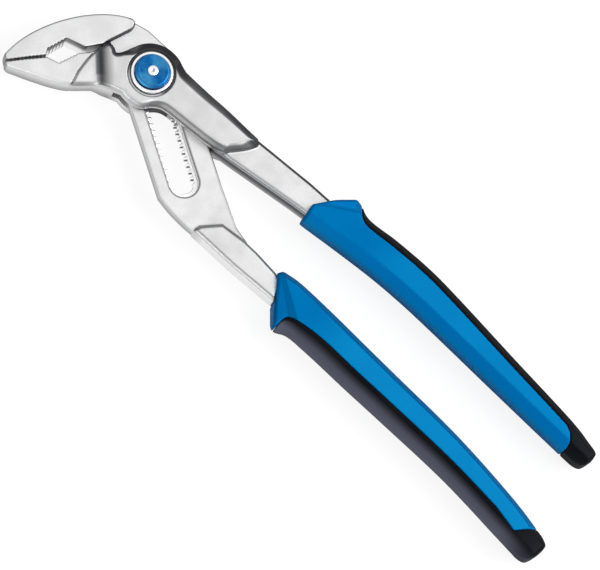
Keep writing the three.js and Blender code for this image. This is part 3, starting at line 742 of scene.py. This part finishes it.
# Spring
SPRING_WIRE_RADIUS = 0.3
SPRING_TURNS = 3
SPRING_BASE_RADIUS = 4.9
SPRING_TOP_RADIUS = 3.1
SPRING_BACK = WASHER_TOP + CONTACT_GAP
SPRING_CLIMB = (0.12, 0.88)


def fillet(profile, radius, count=5):
    """A profile with its corners rounded."""
    p = np.asarray(profile, float)
    out = []
    for before, corner, after in zip(np.roll(p, 1, 0), p, np.roll(p, -1, 0)):
        ways = np.array([before, after]) - corner
        lengths = np.linalg.norm(ways, axis=1)
        reach = min(radius, FILLET_SHARE * lengths.min())
        a, b = corner + ways / lengths[:, None] * reach
        t = np.linspace(0, 1, count)[:, None]
        out.append(a * (1 - t) ** 2 + 2 * corner * t * (1 - t) + b * t**2)
    return np.vstack(out)


def turned_form(profile):
    """A closed ring of revolution. The profile runs anticlockwise in (radius, height)."""
    r, z = np.asarray(profile, float).T[:, :, None]
    a = np.linspace(0, 2 * math.pi, TURN_STEPS, endpoint=False)
    vertices = np.stack([r * np.cos(a), r * np.sin(a), np.repeat(z, TURN_STEPS, 1)], 2).reshape(-1, 3)
    i, j = np.meshgrid(np.arange(len(r)), np.arange(TURN_STEPS), indexing="ij")
    i2, j2 = (i + 1) % len(r), (j + 1) % TURN_STEPS
    faces = np.stack([i * TURN_STEPS + j, i * TURN_STEPS + j2, i2 * TURN_STEPS + j2, i2 * TURN_STEPS + j], 2)
    return vertices, faces.reshape(-1, 4)


def bolt_teeth_outline():
    half = BOLT_TEETH * RACK_PITCH / 2 - BOLT_TEETH_END
    rise, root = RACK_ROOT_WIDTH / 2 - BOLT_TOOTH_GAP, BOLT_NECK_RADIUS
    teeth = teeth_line((1 - BOLT_TEETH) / 2, BOLT_TEETH, BOLT_TOOTH_ROOT, root, BOLT_TOOTH_TIP, rise)
    top = np.array([(-half, root)] + teeth + [(half, root)])
    return slot_points(np.vstack([top[::-1], top * (1, -1)]))


def bolt_form():
    """Flange, teeth, neck, journal, stem and riveted end of the bolt, in one piece."""
    g = Grid([BOLT_SPAN], [BOLT_SPAN], [BOLT_HEIGHTS])
    radius = np.hypot(g.x, g.y)

    def ball(rise, size):
        return np.sqrt(radius[..., None] ** 2 + rise**2) - size

    body = np.minimum.reduce([
        smax(layered(radius - reach), g.between(back, front), BOLT_EDGE)
        for reach, back, front in (
            (FLANGE_RADIUS, FLANGE_BACK, FLANGE_TOP),
            (BOLT_NECK_RADIUS, FLANGE_TOP - 1, JOURNAL_BACK + 1),
            (JOURNAL_RADIUS, JOURNAL_BACK, JOURNAL_TOP),
            (STEM_RADIUS, JOURNAL_TOP - 1, BUTTON_CEILING - CONTACT_GAP),
            (RIVET_RADIUS, BUTTON_CEILING - 1, RIVET_SHAFT_TOP),
        )
    ])
    dome = ball(g.z - RIVET_TOP + RIVET_DOME, RIVET_DOME)
    head = smax(smax((radius - RIVET_HEAD_RADIUS)[..., None], BUTTON_TOP - 0.1 - g.z, 0.1), dome, 0.2)
    body = np.minimum(body, smax(head, -ball(g.z - RIVET_TOP - DIMPLE_RISE, DIMPLE_RADIUS), 0.1))
    body = smax(body, -ball(g.z - FLANGE_BACK + DRILL_DROP, DRILL_RADIUS), 0.15)
    teeth = g.outline(bolt_teeth_outline())
    return surface_net(np.minimum(body, g.slab(teeth, FLANGE_BACK + 0.5, BOLT_TOOTH_TOP)), g.lines)


def spring_form(sides=12, steps_to_turn=36):
    """A conical wire spring with its ends laid flat."""
    count = SPRING_TURNS * steps_to_turn
    t = np.linspace(0, 1, count)
    angle = 2 * math.pi * SPRING_TURNS * t
    radius = SPRING_BASE_RADIUS + (SPRING_TOP_RADIUS - SPRING_BASE_RADIUS) * t
    low, high = SPRING_BACK + SPRING_WIRE_RADIUS, BUTTON_CEILING - CONTACT_GAP - SPRING_WIRE_RADIUS
    rise = low + (high - low) * ease(t, *SPRING_CLIMB)
    around = np.linspace(0, 2 * math.pi, sides, endpoint=False)
    r = radius[:, None] + SPRING_WIRE_RADIUS * np.cos(around)
    z = rise[:, None] + SPRING_WIRE_RADIUS * np.sin(around)
    vertices = np.stack([r * np.cos(angle)[:, None], r * np.sin(angle)[:, None], z], 2).reshape(-1, 3)
    last = (count - 1) * sides
    faces = [
        [i + j, i + sides + j, i + sides + (j + 1) % sides, i + (j + 1) % sides]
        for i in range(0, last, sides) for j in range(sides)
    ]
    return vertices, faces + [list(range(sides)), list(reversed(range(last, last + sides)))]


SEEN_RAYS = ("Camera", "Glossy", "Transmission")


class Shader:
    """The nodes of a material or a world, around the node that shades its surface."""

    def __init__(self, owner, surface="Principled BSDF"):
        owner.use_nodes = True
        self.owner = owner
        self.tree = owner.node_tree
        self.surface = self.tree.nodes[surface]
        self.place = self.node("ShaderNodeTexCoord", {}, "Object")

    def node(self, kind, inputs, output, **settings):
        """One output of a new node, with its inputs set or linked."""
        made = self.tree.nodes.new(kind)
        for key, value in settings.items():
            setattr(made, key, value)
        for socket, value in inputs.items():
            self.put(made.inputs[socket], value)
        return made.outputs[output]

    def put(self, socket, value):
        if isinstance(value, bpy.types.NodeSocket):
            self.tree.links.new(value, socket)
        elif isinstance(value, tuple) and len(value) == 3 and socket.type == "RGBA":
            socket.default_value = (*value, 1)
        else:
            socket.default_value = value

    def set(self, **values):
        for name, value in values.items():
            self.put(self.surface.inputs[name.replace("_", " ")], value)

    def noise(self, scale, detail=3.0, roughness=0.55):
        inputs = {"Vector": self.place, "Scale": scale, "Detail": detail, "Roughness": roughness}
        return self.node("ShaderNodeTexNoise", inputs, "Fac")

    def rings(self, scale):
        inputs = {"Vector": self.place, "Scale": scale}
        return self.node("ShaderNodeTexWave", inputs, "Fac", wave_type="RINGS", rings_direction="Z")

    def span(self, value, low, high, to_low=0.0, to_high=1.0):
        inputs = {"Value": value, "From Min": low, "From Max": high, "To Min": to_low, "To Max": to_high}
        return self.node("ShaderNodeMapRange", inputs, "Result", interpolation_type="SMOOTHSTEP")

    def maths(self, operation, a, b=0.0):
        return self.node("ShaderNodeMath", {0: a, 1: b}, 0, operation=operation)

    def times(self, a, b):
        return self.maths("MULTIPLY", a, b)

    def mix(self, share, a, b):
        return self.node("ShaderNodeMix", {"Factor": share, 6: a, 7: b}, 2, data_type="RGBA")

    def split(self, vector, axis):
        return self.node("ShaderNodeSeparateXYZ", {0: vector}, axis)

    def attribute(self, name):
        return self.node("ShaderNodeAttribute", {}, "Fac", attribute_name=name)

    def geometry(self, name):
        return self.node("ShaderNodeNewGeometry", {}, name)

    def seen_directly(self):
        """1 for seen, mirrored and refracted rays, 0 for scattered light."""
        rays = [self.node("ShaderNodeLightPath", {}, "Is %s Ray" % kind) for kind in SEEN_RAYS]
        return self.maths("MAXIMUM", self.maths("MAXIMUM", rays[0], rays[1]), rays[2])

    def bump(self, height, distance, strength):
        inputs = {"Height": height, "Distance": distance, "Strength": strength}
        self.set(Normal=self.node("ShaderNodeBump", inputs, "Normal"))


def satin_steel(name, rim_shade, wall_shade):
    s = Shader(bpy.data.materials.new(name))
    cloud = s.span(s.noise(130, 4), 0.3, 0.7)
    grain = s.span(s.noise(1900, 2, 0.6), 0.3, 0.7)
    point = s.geometry("Pointiness")
    # An attribute that lifts the painted shade of sides and hollows, as painted light
    shade_relief = s.attribute("shade_relief")
    # Painted shade in hollows and corners, and a little less painted shade on convex edges
    edge = s.span(point, 0.53, 0.6)
    hollow_shade = s.span(point, 0.485, 0.44)
    bright = s.mix(cloud, (0.68, 0.68, 0.68), (0.73, 0.73, 0.735))
    bright = s.mix(s.times(grain, 0.3), bright, (0.52, 0.52, 0.525))
    # Painted shade on sides and rounded edges, set by how far they lean from the face
    level = s.maths("ABSOLUTE", s.split(s.geometry("Normal"), "Z"))
    flank_shade = s.times(s.span(level, 0.985, 0.75, 0.0, rim_shade), s.span(level, 0.1, 0.5, wall_shade, 1.0))
    flank_shade = s.times(flank_shade, s.maths("SUBTRACT", 1.0, shade_relief))
    bright = s.mix(flank_shade, bright, (0.09, 0.095, 0.11))
    # Painted light where an attribute asks for it
    bright = s.mix(s.attribute("painted_light"), bright, (0.95, 0.95, 0.95))
    # Painted shade, with a darker tone on faces, after an attribute; it also dims the reflection tint
    dark = s.mix(cloud, (0.012, 0.012, 0.013), (0.02, 0.02, 0.022))
    scale = s.times(s.attribute("shade_and_tone"), s.maths("SUBTRACT", 1.0, s.times(edge, 0.12)))
    hollow_shade = s.times(hollow_shade, s.maths("SUBTRACT", 0.8, s.times(shade_relief, 0.7)))
    colour = s.mix(hollow_shade, s.mix(scale, bright, dark), (0.06, 0.06, 0.065))
    rough = s.maths("ADD", s.times(cloud, 0.07), s.times(grain, 0.08))
    s.set(Base_Color=colour, Metallic=1.0, Roughness=s.maths("ADD", rough, 0.3))
    s.set(Specular_Tint=s.mix(scale, (1.0, 1.0, 1.0), (0.45, 0.45, 0.47)))
    s.bump(s.noise(2200, 3, 0.6), 0.00004, 0.5)
    return s.owner


def turned_steel(name, colour, roughness):
    s = Shader(bpy.data.materials.new(name))
    grain = s.noise(1500, 3)
    tone = tuple(0.8 * c for c in colour)
    # Painted shade in hollows, and where an attribute asks for it
    hollow_shade = s.span(s.geometry("Pointiness"), 0.48, 0.42)
    base = s.mix(s.times(s.span(grain, 0.35, 0.7), 0.4), colour, tone)
    base = s.mix(s.times(hollow_shade, 0.6), base, (0.1, 0.1, 0.105))
    base = s.mix(s.attribute("shade_and_tone"), base, (0.08, 0.08, 0.085))
    s.set(Base_Color=base, Metallic=1.0, Roughness=s.span(grain, 0.3, 0.7, roughness, roughness + 0.1))
    s.bump(s.rings(900.0), 0.00001, 0.4)
    return s.owner


def button_blue():
    s = Shader(bpy.data.materials.new("blue anodised button"))
    cloud = s.noise(420, 3)
    edge = s.span(s.geometry("Pointiness"), 0.53, 0.6)
    colour = s.mix(s.span(cloud, 0.35, 0.7), (0.0, 0.1, 0.33), (0.012, 0.18, 0.43))
    # Painted highlight: two opposite sectors of the turned face lighter
    flat = s.node("ShaderNodeVectorMath", {0: s.place, 1: (1.0, 1.0, 0.0)}, 0, operation="MULTIPLY")
    outward = s.node("ShaderNodeVectorMath", {0: flat}, 0, operation="NORMALIZE")
    fan = s.maths("POWER", s.maths("ABSOLUTE", s.split(outward, "Y")), 2.0)
    colour = s.mix(s.span(fan, 0.3, 1.0, 0.0, 0.6), colour, (0.045, 0.25, 0.46))
    colour = s.mix(s.times(edge, 0.35), colour, (0.1, 0.34, 0.75))
    around = s.node("ShaderNodeTangent", {}, "Tangent", direction_type="RADIAL", axis="Z")
    s.set(Base_Color=colour, Metallic=0.85, Roughness=s.span(cloud, 0.3, 0.7, 0.24, 0.34))
    s.set(Anisotropic=0.65, Tangent=around)
    s.bump(s.rings(700.0), 0.000012, 0.5)
    return s.owner


def moulded(name, low, high, roughness, specular, grain_depth, mark_tone, side_lit, light_lifted, tint):
    s = Shader(bpy.data.materials.new(name))
    cloud = s.span(s.noise(60, 4), 0.3, 0.7)
    grain = s.noise(2400, 2, 0.5)
    point = s.geometry("Pointiness")
    edge = s.span(point, 0.515, 0.57)
    hollow_shade = s.span(point, 0.485, 0.45)
    colour = s.mix(cloud, low, high)
    # Painted light on inner sides and facets, a painted lift on faces and walls, and painted shade where an
    # attribute asks for it
    colour = s.mix(s.attribute("side_light"), colour, side_lit)
    colour = s.mix(s.attribute("light_lift"), colour, light_lifted)
    colour = s.mix(s.attribute("shade"), colour, tuple(0.45 * c for c in low))
    # Convex edges a little lighter, and painted shade in hollows
    colour = s.mix(s.times(edge, 0.2), colour, mark_tone)
    colour = s.mix(s.times(hollow_shade, 0.5), colour, tuple(0.35 * c for c in low))
    s.set(Base_Color=colour, Roughness=s.span(grain, 0.3, 0.7, roughness, roughness + 0.1))
    s.set(Specular_IOR_Level=specular, Specular_Tint=tint)
    s.bump(s.maths("ADD", grain, s.times(s.noise(700, 2), 0.5)), grain_depth, 0.6)
    return s.owner


# Painted shade on the arms, and a slightly darker tone on their faces. Tones run from 0, bright, to 1, the
# darkest painted shade. Spans lie along x.
OUTER_TONES = (0.85, 0.25)
OUTER_SHANK_TONES = (0.85, 0.35)
TIP_EDGE = (0.15, 0.5)
OUTER_TURN = (0.06, 0.3)
UPRIGHT = (0.5, 0.9)
MOUTH_INNER_END = -19

UPPER_BEVEL_TONES = (0.96, 0.86)
LOWER_BEVEL_TONE = 0.68
BOSS_BEVEL_FADE = 0.53
PANEL_END_FADE = 0.36
SEAT_TONES = (0.95, 0.2)
SHANK_WALL_TONES = (0.84, 0.32)
FACE_TONE = 0.14
SHANK_FACE_TONE = 0.1
JAW_SHADE_RELIEF = (0.8, 0.65)
BOSS_START = (-13, -8)
ARM_START = (2, 8)
ARM_TOP = (6, 14)
PANEL_FADE_SPAN = (33, 37)

TOOTH_TONES = (0.8, 0.05)
JAW_BACK_TONE = 0.45
BELOW_SHADE_RELIEF = (0.35, 0.75)
SHANK_LOWER_HALF = -30.5

RIVET_SHADE = 0.6


def paint(made, finish):
    for name, values in finish.items():
        layer = made.data.attributes.new(name, "FLOAT", "POINT")
        layer.data.foreach_set("value", np.asarray(values, np.float32))


def vertex_normals(made):
    normals = np.empty(3 * len(made.data.vertices), np.float32)
    made.data.vertex_normals.foreach_get("vector", normals)
    return normals.reshape(-1, 3)


def facing(normals, walls):
    """How far a surface faces the outer side of the tool, upright walls less so."""
    onward, outward = normals[:, 0], normals[:, 1]
    turned = ease(np.maximum(onward + 1.5 * np.minimum(outward, 0), outward), *OUTER_TURN)
    return turned * (walls + (1 - walls) * ease(np.abs(normals[:, 2]), 0.05, 0.4))


def toned(tones, share):
    return tones[0] + (tones[1] - tones[0]) * share


def strongest(*marks):
    """The strongest of some marks, each given as its tone and where it lies."""
    return np.clip(np.max([tone * where for tone, where in marks], axis=0), 0, 1)


def in_mouth(along, x):
    """Whether points lie in the toothed mouth behind the tips."""
    return (along > TIP_FACE_LENGTH) * (along < MOUTH_END) * (x < MOUTH_INNER_END)


def finish_of_button_arm(vertices, normals):
    """Painted shade on the bevels, the seat, the ramp, the nose and the edges, a darker tone on the faces,
    and painted light that lifts the shade off the lower edges.
    """
    x, y, rise = vertices[:, 0], vertices[:, 1], vertices[:, 2] - MID
    level, radius = np.abs(rise), np.hypot(x, y)
    edge = outline_distance(cheek_outline(), x, y)
    to_lower_edge = line_distance(lower_edge_line(), x, y)
    to_step = line_distance(resample(JAW_STEP), x, y)
    along, climb = from_tip(x, y), ramp_climb(x, y)

    # Boss and arm: painted shade on the bevels, in the seat, under the boss, at the panel lip and on the
    # shank wall, and a darker tone on the faces
    bevel = ease(edge + bevel_width(x, y), -0.35, 0.15) * ease(level, NECK_HALF + 0.1, NECK_HALF + 0.5)
    at_end = ease(x, *PANEL_FADE_SPAN)
    lower = LOWER_BEVEL_TONE - BOSS_BEVEL_FADE * fade(x, *ARM_START) - PANEL_END_FADE * at_end
    upper = toned(UPPER_BEVEL_TONES, ease(x, *ARM_TOP))
    bevel = bevel * (lower + (upper - lower) * ease(y - 2 * at_end, -2, 2)) * ease(x, *BOSS_START)
    seat = (radius < SEAT_RADIUS + 0.1) & (rise < HEAD_HALF - 0.1)
    seat = seat * toned(SEAT_TONES, ease(-y / np.maximum(radius, 1), 0.2, 0.85))
    under = fade(rise, 3.2, 4.6) * ease(x, 2, 5) * (x < 18) * (y < -4.5)
    face = np.where(level > SHANK_HALF + 0.6, FACE_TONE, SHANK_FACE_TONE * (x > 36))
    lip = ease(normals[:, 0], 0.02, 0.15) * ease(x, 33, 36) * (x < 45) * (level > SHANK_HALF + 0.3)
    shank_wall = toned(SHANK_WALL_TONES, ease(-rise, -1.5, 3.5))
    shank_wall = fade(rise, 2.2, 3.6) * shank_wall * (x > 12) * (y < -2)

    # Neck and jaw: painted shade on the ramp, the nose, the step, the outer side, the lower wall, the sill
    # and the tips
    on_ramp = ease(climb, -0.1, 0.35) * ease(-climb, -1.35, -0.25) * (x < -4) * (level > NECK_HALF - 0.3)
    on_ramp = on_ramp * (edge < -0.3)
    nose = ease(edge, -1.5, -0.4) * (x < -10) * ease(y, -4.5, -2.5) * (level > NECK_HALF - 1.5)
    step = fade(to_step, 0.3, 0.65) * (level > NECK_HALF - 0.8)
    outer = toned(OUTER_TONES, in_mouth(along, x) * (to_step > 1.5)) * facing(normals, 0.35)
    wall_shade = (to_lower_edge < 1.5) * fade(np.abs(normals[:, 2]), *UPRIGHT) * fade(x, -8, -4)
    wall_shade = wall_shade * fade(rise, -5, 4)
    sill = fade(to_lower_edge, 0.8, 1.6) * ease(x, -20, -18) * fade(x, -16.5, -10)
    sill = sill * (rise > NECK_HALF - 2)
    tip = fade(along, *TIP_EDGE)
    dark = strongest(
        (1, bevel), (1, seat), (0.9, under), (1, face), (0.5, lip), (1, shank_wall), (1, outer), (0.5, wall_shade),
        (0.45, sill), (0.9, on_ramp), (0.9, nose), (0.75, step), (0.5, tip),
    )

    # Painted light: the painted shade lifted off the lower edges of jaw, boss and arm
    jaw = toned(JAW_SHADE_RELIEF, ease(x, -20, -17)) * fade(to_lower_edge, 3, 4)
    boss = (radius > SEAT_RADIUS + 1) * (y < -4) * ease(x, -12, -7) * (x < 6)
    arm = (edge > -LOWER_BEVEL - 0.4) * (y < -4.5) * ease(x, 5, 8) * fade(x, 26, 37)
    return {"shade_and_tone": dark, "shade_relief": strongest((1, jaw), (0.4, boss), (0.75, arm))}


def finish_of_slotted_arm(vertices, normals):
    """Painted shade on the outer edges, the heel and the teeth, and painted light in the slot, the mouth and
    on the lower edges.
    """
    x, y, rise = vertices[:, 0], vertices[:, 1], vertices[:, 2] - MID
    level, along = np.abs(rise), from_tip(x, y)
    slot = outline_distance(slot_outline(), x, y)
    blade = outline_distance(blade_outline(), x, y)
    shank = outline_distance(LOWER_SHANK, x, y)
    slot_way, slot_side = slot_points([(1, 0), (0, 1)])
    outer_side = vertices[:, :2] @ slot_side > 0
    in_slot = slot < 0.3
    upright = fade(np.abs(normals[:, 2]), *UPRIGHT)
    below = ease(-normals[:, 1], 0.2, 0.4)

    # Slot and blade: painted shade on the tooth flanks, along the slot rim, on the blade's outer edge and on
    # its wall
    flank_shade = ease(np.abs(normals[:, :2] @ slot_way), 0.35, 0.7) * (slot < -0.2) * (vertices[:, 2] < RACK_TOP)
    flank_shade = flank_shade * np.where(outer_side, *TOOTH_TONES)
    rim_shade = fade(np.abs(slot), 0.4, 0.85) * (level > BLADE_HALF - 0.3)
    blade_edge = fade(-blade, 0.5, 1) * outer_side * ease(x, 12, 16)
    blade_edge = blade_edge * (level > BLADE_HALF - 0.5) * (shank > 0.3)
    blade_wall = upright * (np.abs(blade) < 0.5) * (shank > 0.3) * (x > -5) * ~outer_side

    # Jaw and shank: painted shade on the outer side, the heel, the upper mouth wall, the bevel line and the
    # lower bevel, and a darker tone towards the grip
    jaw_back = (x < -18) & (normals[:, 1] > 0.2)
    outer = np.where(jaw_back, JAW_BACK_TONE, toned(OUTER_SHANK_TONES, ease(x, 36, 44)))
    outer = facing(normals, np.where(x < -12, 0.95, 0.35)) * outer
    heel = (x > -19.5) * (x < -10) * (y > -4) * ease(normals[:, 0], 0.03, 0.25)
    mouth = in_mouth(along, x) * ease(-normals[:, 1], 0.2, 0.5)
    lit = ease(rise, 3, -0.5)
    lower_half = y < SHANK_LOWER_HALF
    line = fade(np.abs(shank + SHANK_BEVEL), 0.1, 0.4) * lower_half * (level > SHANK_HALF - 0.5)
    on_bevel = (shank > -SHANK_BEVEL) * lower_half * (level > SHANK_HALF - SHANK_BEVEL)
    dark = strongest(
        (0.7, rim_shade), (1, np.where(in_slot, flank_shade, outer)), (0.8, heel), (0.5, blade_edge),
        (0.3, blade_wall * fade(rise, -1, 3)), (0.12, ease(x, 42, 48)), (0.52, line), (0.36, on_bevel),
        (0.55, mouth * (1 - lit)), (0.5, fade(along, *TIP_EDGE)),
    )

    # Painted light: the slot, the lower mouth wall and the shank's lower edges and wall lighter, with the
    # painted shade lifted
    lower = toned(BELOW_SHADE_RELIEF, ease(x, 42, 46)) * below
    lower = strongest((1, lower), (0.5, (np.abs(shank) < 0.8) * (y > -32) * (x > 43)))
    shade_relief = np.where(in_slot, 1.0, lower * np.where(x > -5, 1, fade(along, 21.5, 27)))
    bright = below * ease(x, 45, 50) * (level < SHANK_HALF - SHANK_BEVEL)
    painted_light = strongest((1, slot < -0.1), (1, mouth * lit), (0.95, bright))
    return {"shade_and_tone": dark, "shade_relief": shade_relief, "painted_light": painted_light}


def finish_of_bolt(vertices):
    """Painted shade in the dimple and round the rim of the riveted end."""
    radius = np.hypot(vertices[:, 0], vertices[:, 1])
    mark_tone = np.maximum(fade(radius, 0.45, 0.85), ease(radius, 1.6, 1.9))
    return {"shade_and_tone": RIVET_SHADE * mark_tone * (vertices[:, 2] > BUTTON_TOP - 0.2)}


# Painted light and shade on the grips
SOFT_END_FADE = 0.7
SOFT_FACE_FADE = 0.92
CREASE_LINE = (0.02, 0.12)
OUTER_SIDE = (0.25, 0.7)
INNER_SIDE = (0.3, 0.8)


def finish_of_shell(grip, light, vertices, normals):
    """Painted shade on the outer side, the creases and the front rim; painted light on the inner side, the
    facets and the face.
    """
    x, y, _ = vertices.T
    outward, level = normals[:, 1:].T
    drop = crease_drop(grip["creases"], x, y)
    front = fade(line_distance(grip["front"], x, y), 0.6, 1.5)
    crease = ease(drop, *CREASE_LINE) * fade(drop, 0.25, 0.7)
    wedge = np.zeros(len(x))
    for first, second in zip(grip["creases"], grip["creases"][1:]):
        beyond, short = crease_drop([first], x, y), crease_drop([second], x, y)
        wedge = np.maximum(wedge, ease(beyond, *CREASE_LINE) * fade(short, *CREASE_LINE))
    face = ease(level, 0.8, 0.97) * ease(x, 90, 115)
    return {
        "shade": strongest((0.8, ease(outward, *OUTER_SIDE)), (0.4, crease), (0.5, wedge), (0.6, front)),
        "side_light": strongest((1, ease(-outward, *INNER_SIDE)), (0.9, ease(drop, 0.1, 0.4))),
        "light_lift": strongest((light, face), (0.5, ease(-outward, 0.75, 0.95))),
    }


def finish_of_soft(grip, soft_side_light, vertices, normals):
    """Painted shade on the outer side of the soft layer, and grey painted light on its inner side and a
    little on its end.
    """
    x, _, z = vertices.T
    outward, level = normals[:, 1:].T
    break_end = grip["break"][-1][0]
    end = ease(x, break_end - 12, break_end + 2)
    side_light = ease(-outward, *INNER_SIDE) * soft_side_light * (1 - SOFT_END_FADE * end)
    side_light = side_light * (1 - SOFT_FACE_FADE * ease(z - MID, GRIP_SIDE_HALF, GRIP_HALF))
    side_light = strongest((1, side_light), (0.06, end * (level > 0.8)))
    return {"shade": 0.8 * ease(outward, *OUTER_SIDE), "side_light": side_light}


# The two numbers set the painted shade on rounded edges and on upright sides
steel = satin_steel("satin steel of the button arm", 0.7, 0.45)
plain_steel = satin_steel("satin steel of the slotted arm", 0.72, 0.4)
polished = turned_steel("bright steel", (0.92, 0.92, 0.93), 0.12)
dull = turned_steel("spring steel", (0.42, 0.42, 0.44), 0.3)
anodised = button_blue()
# After the grain depth come the colours of convex edges, of painted side light and of the painted light lift
blue = moulded("blue shell", (0.0, 0.208, 0.57), (0.0, 0.234, 0.615), 0.42, 0.015, 0.00003, (0.0, 0.3, 0.66),
               (0.0, 0.27, 0.76), (0.01, 0.42, 0.87), (0.15, 0.45, 1.0))
black = moulded("black soft layer", (0.005, 0.005, 0.006), (0.009, 0.009, 0.0105), 0.55, 0.03, 0.00005,
                (0.03, 0.03, 0.034), (0.16, 0.17, 0.235), (0.16, 0.17, 0.235), (0.8, 0.85, 1.0))

PIECES_OF = {
    "arm_with_button": ("button_arm", "button_collar", "upper_grip_shell", "upper_grip_soft"),
    "arm_with_slot": ("slotted_arm", "lower_grip_shell", "lower_grip_soft"),
    "bolt_and_button": ("toothed_bolt", "push_button"),
    "pivot_seat": ("thrust_washer", "return_spring"),
}
BODY_OF = {node: body for body, nodes in PIECES_OF.items() for node in nodes}


def piece(node, form, material):
    vertices, faces = form
    mesh = bpy.data.meshes.new(node + "_form")
    mesh.from_pydata((vertices * MILLIMETRE).tolist(), [], list(faces))
    mesh.polygons.foreach_set("use_smooth", np.ones(len(mesh.polygons), bool))
    mesh.update()
    mesh.materials.append(material)
    made = bpy.data.objects.new(node + "_form", mesh)
    bpy.context.scene.collection.objects.link(made)
    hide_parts(node)
    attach(made, BODY_OF[node])
    return made


for node, form, material, finish in (
    ("button_arm", button_arm_form(), steel, finish_of_button_arm),
    ("slotted_arm", slotted_arm_form(), plain_steel, finish_of_slotted_arm),
):
    arm = piece(node, form, material)
    paint(arm, finish(form[0], vertex_normals(arm)))
for side, grip, soft_side_light, light in (("upper", UPPER_GRIP, 0.12, 0.27), ("lower", LOWER_GRIP, 1.0, 0.38)):
    shell_form, soft_form = grip_forms(grip)
    shell = piece(side + "_grip_shell", shell_form, blue)
    paint(shell, finish_of_shell(grip, light, shell_form[0], vertex_normals(shell)))
    soft = piece(side + "_grip_soft", soft_form, black)
    paint(soft, finish_of_soft(grip, soft_side_light, soft_form[0], vertex_normals(soft)))

collar = [
    (COLLAR_INNER, COLLAR_BACK), (COLLAR_OUTER, COLLAR_BACK), (COLLAR_OUTER, COLLAR_LIP_BACK),
    (COLLAR_LIP, COLLAR_LIP_BACK), (COLLAR_LIP, COLLAR_TOP - COLLAR_CHAMFER),
    (COLLAR_LIP - COLLAR_CHAMFER, COLLAR_TOP), (COLLAR_INNER + COLLAR_EDGE, COLLAR_TOP),
    (COLLAR_INNER, COLLAR_TOP - COLLAR_EDGE),
]
piece("button_collar", turned_form(fillet(collar, COLLAR_EDGE)), polished)
button = [
    (BUTTON_HOLE, BUTTON_CEILING), (BUTTON_SKIRT, BUTTON_CEILING), (BUTTON_SKIRT, BUTTON_BACK),
    (BUTTON_RADIUS, BUTTON_BACK), (BUTTON_RADIUS, BUTTON_SHOULDER), (BUTTON_FACE, BUTTON_TOP),
    BUTTON_DISH_RIM, (RIVET_HEAD_RADIUS + 0.3, BUTTON_DISH_FLOOR), (BUTTON_HOLE, BUTTON_DISH_FLOOR),
]
piece("push_button", turned_form(fillet(button, BUTTON_EDGE)), anodised)
washer = [
    (WASHER_HOLE, WASHER_BACK), (WASHER_RIM, WASHER_BACK),
    (WASHER_RIM, WASHER_TOP), (WASHER_HOLE, WASHER_TOP),
]
piece("thrust_washer", turned_form(fillet(washer, WASHER_EDGE)), polished)
bolt = bolt_form()
paint(piece("toothed_bolt", bolt, polished), finish_of_bolt(bolt[0]))
coil = piece("return_spring", spring_form(), dull)
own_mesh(coil)

# Camera, in front of the tool and turned so that it lies as photographed
RIGHT = Vector((0.783, 0.597, 0.175)).normalized()
UPWARD = Vector((-0.622, 0.7517, 0.220)).normalized()
TARGET = Vector((0.08436, -0.02392, 0.008))
DISTANCE = 1.3
VIEW_WIDTH = 0.2044
SENSOR = 36.0
toward = RIGHT.cross(UPWARD).normalized()
lens = bpy.data.cameras.new("camera")
lens.sensor_width = SENSOR
lens.lens = SENSOR * DISTANCE / VIEW_WIDTH
camera = bpy.data.objects.new("camera", lens)
turned = Matrix((RIGHT, toward.cross(RIGHT), toward)).transposed().to_4x4()
camera.matrix_world = Matrix.Translation(TARGET + toward * DISTANCE) @ turned
scene = bpy.context.scene
scene.collection.objects.link(camera)
scene.camera = camera
scene.view_settings.view_transform = "Standard"

# Studio: white all round, a large softbox overhead and a strip low on the near side
WORLD_FILL = 0.22
FLOOR_ALBEDO = 0.22
FLOOR_GLOW = 0.88
FLOOR_HALF = 3.0
FLOOR_LEVEL = -1e-4

scene.world = bpy.data.worlds.new("studio")
sky = Shader(scene.world, "Background")
sky.set(Color=(1.0, 1.0, 1.0), Strength=sky.span(sky.seen_directly(), 0.0, 1.0, WORLD_FILL, 1.0))

corners = [(FLOOR_HALF * i, FLOOR_HALF * j, FLOOR_LEVEL) for i, j in ((-1, -1), (1, -1), (1, 1), (-1, 1))]
floor_mesh = bpy.data.meshes.new("floor")
floor_mesh.from_pydata(corners, [], [(0, 1, 2, 3)])
floor = bpy.data.objects.new("floor", floor_mesh)
scene.collection.objects.link(floor)
white = Shader(bpy.data.materials.new("white floor"))
floor_mesh.materials.append(white.owner)
white.set(Base_Color=(FLOOR_ALBEDO, FLOOR_ALBEDO, FLOOR_ALBEDO), Roughness=0.9, Specular_IOR_Level=0.0)
white.set(Emission_Color=(1.0, 1.0, 1.0))
white.set(Emission_Strength=white.times(white.seen_directly(), FLOOR_GLOW))


def softbox(name, place, aim, width, depth, power):
    light = bpy.data.lights.new(name, "AREA")
    light.shape = "RECTANGLE"
    light.size = width
    light.size_y = depth
    light.energy = power
    made = bpy.data.objects.new(name, light)
    made.location = place
    made.rotation_euler = (Vector(aim) - Vector(place)).to_track_quat("-Z", "Y").to_euler()
    scene.collection.objects.link(made)


softbox("key", (1.25, 0.7, 1.15), TARGET, 1.7, 1.7, 34)
softbox("low strip", (-0.1, -1.2, 0.3), TARGET, 1.4, 0.3, 4)
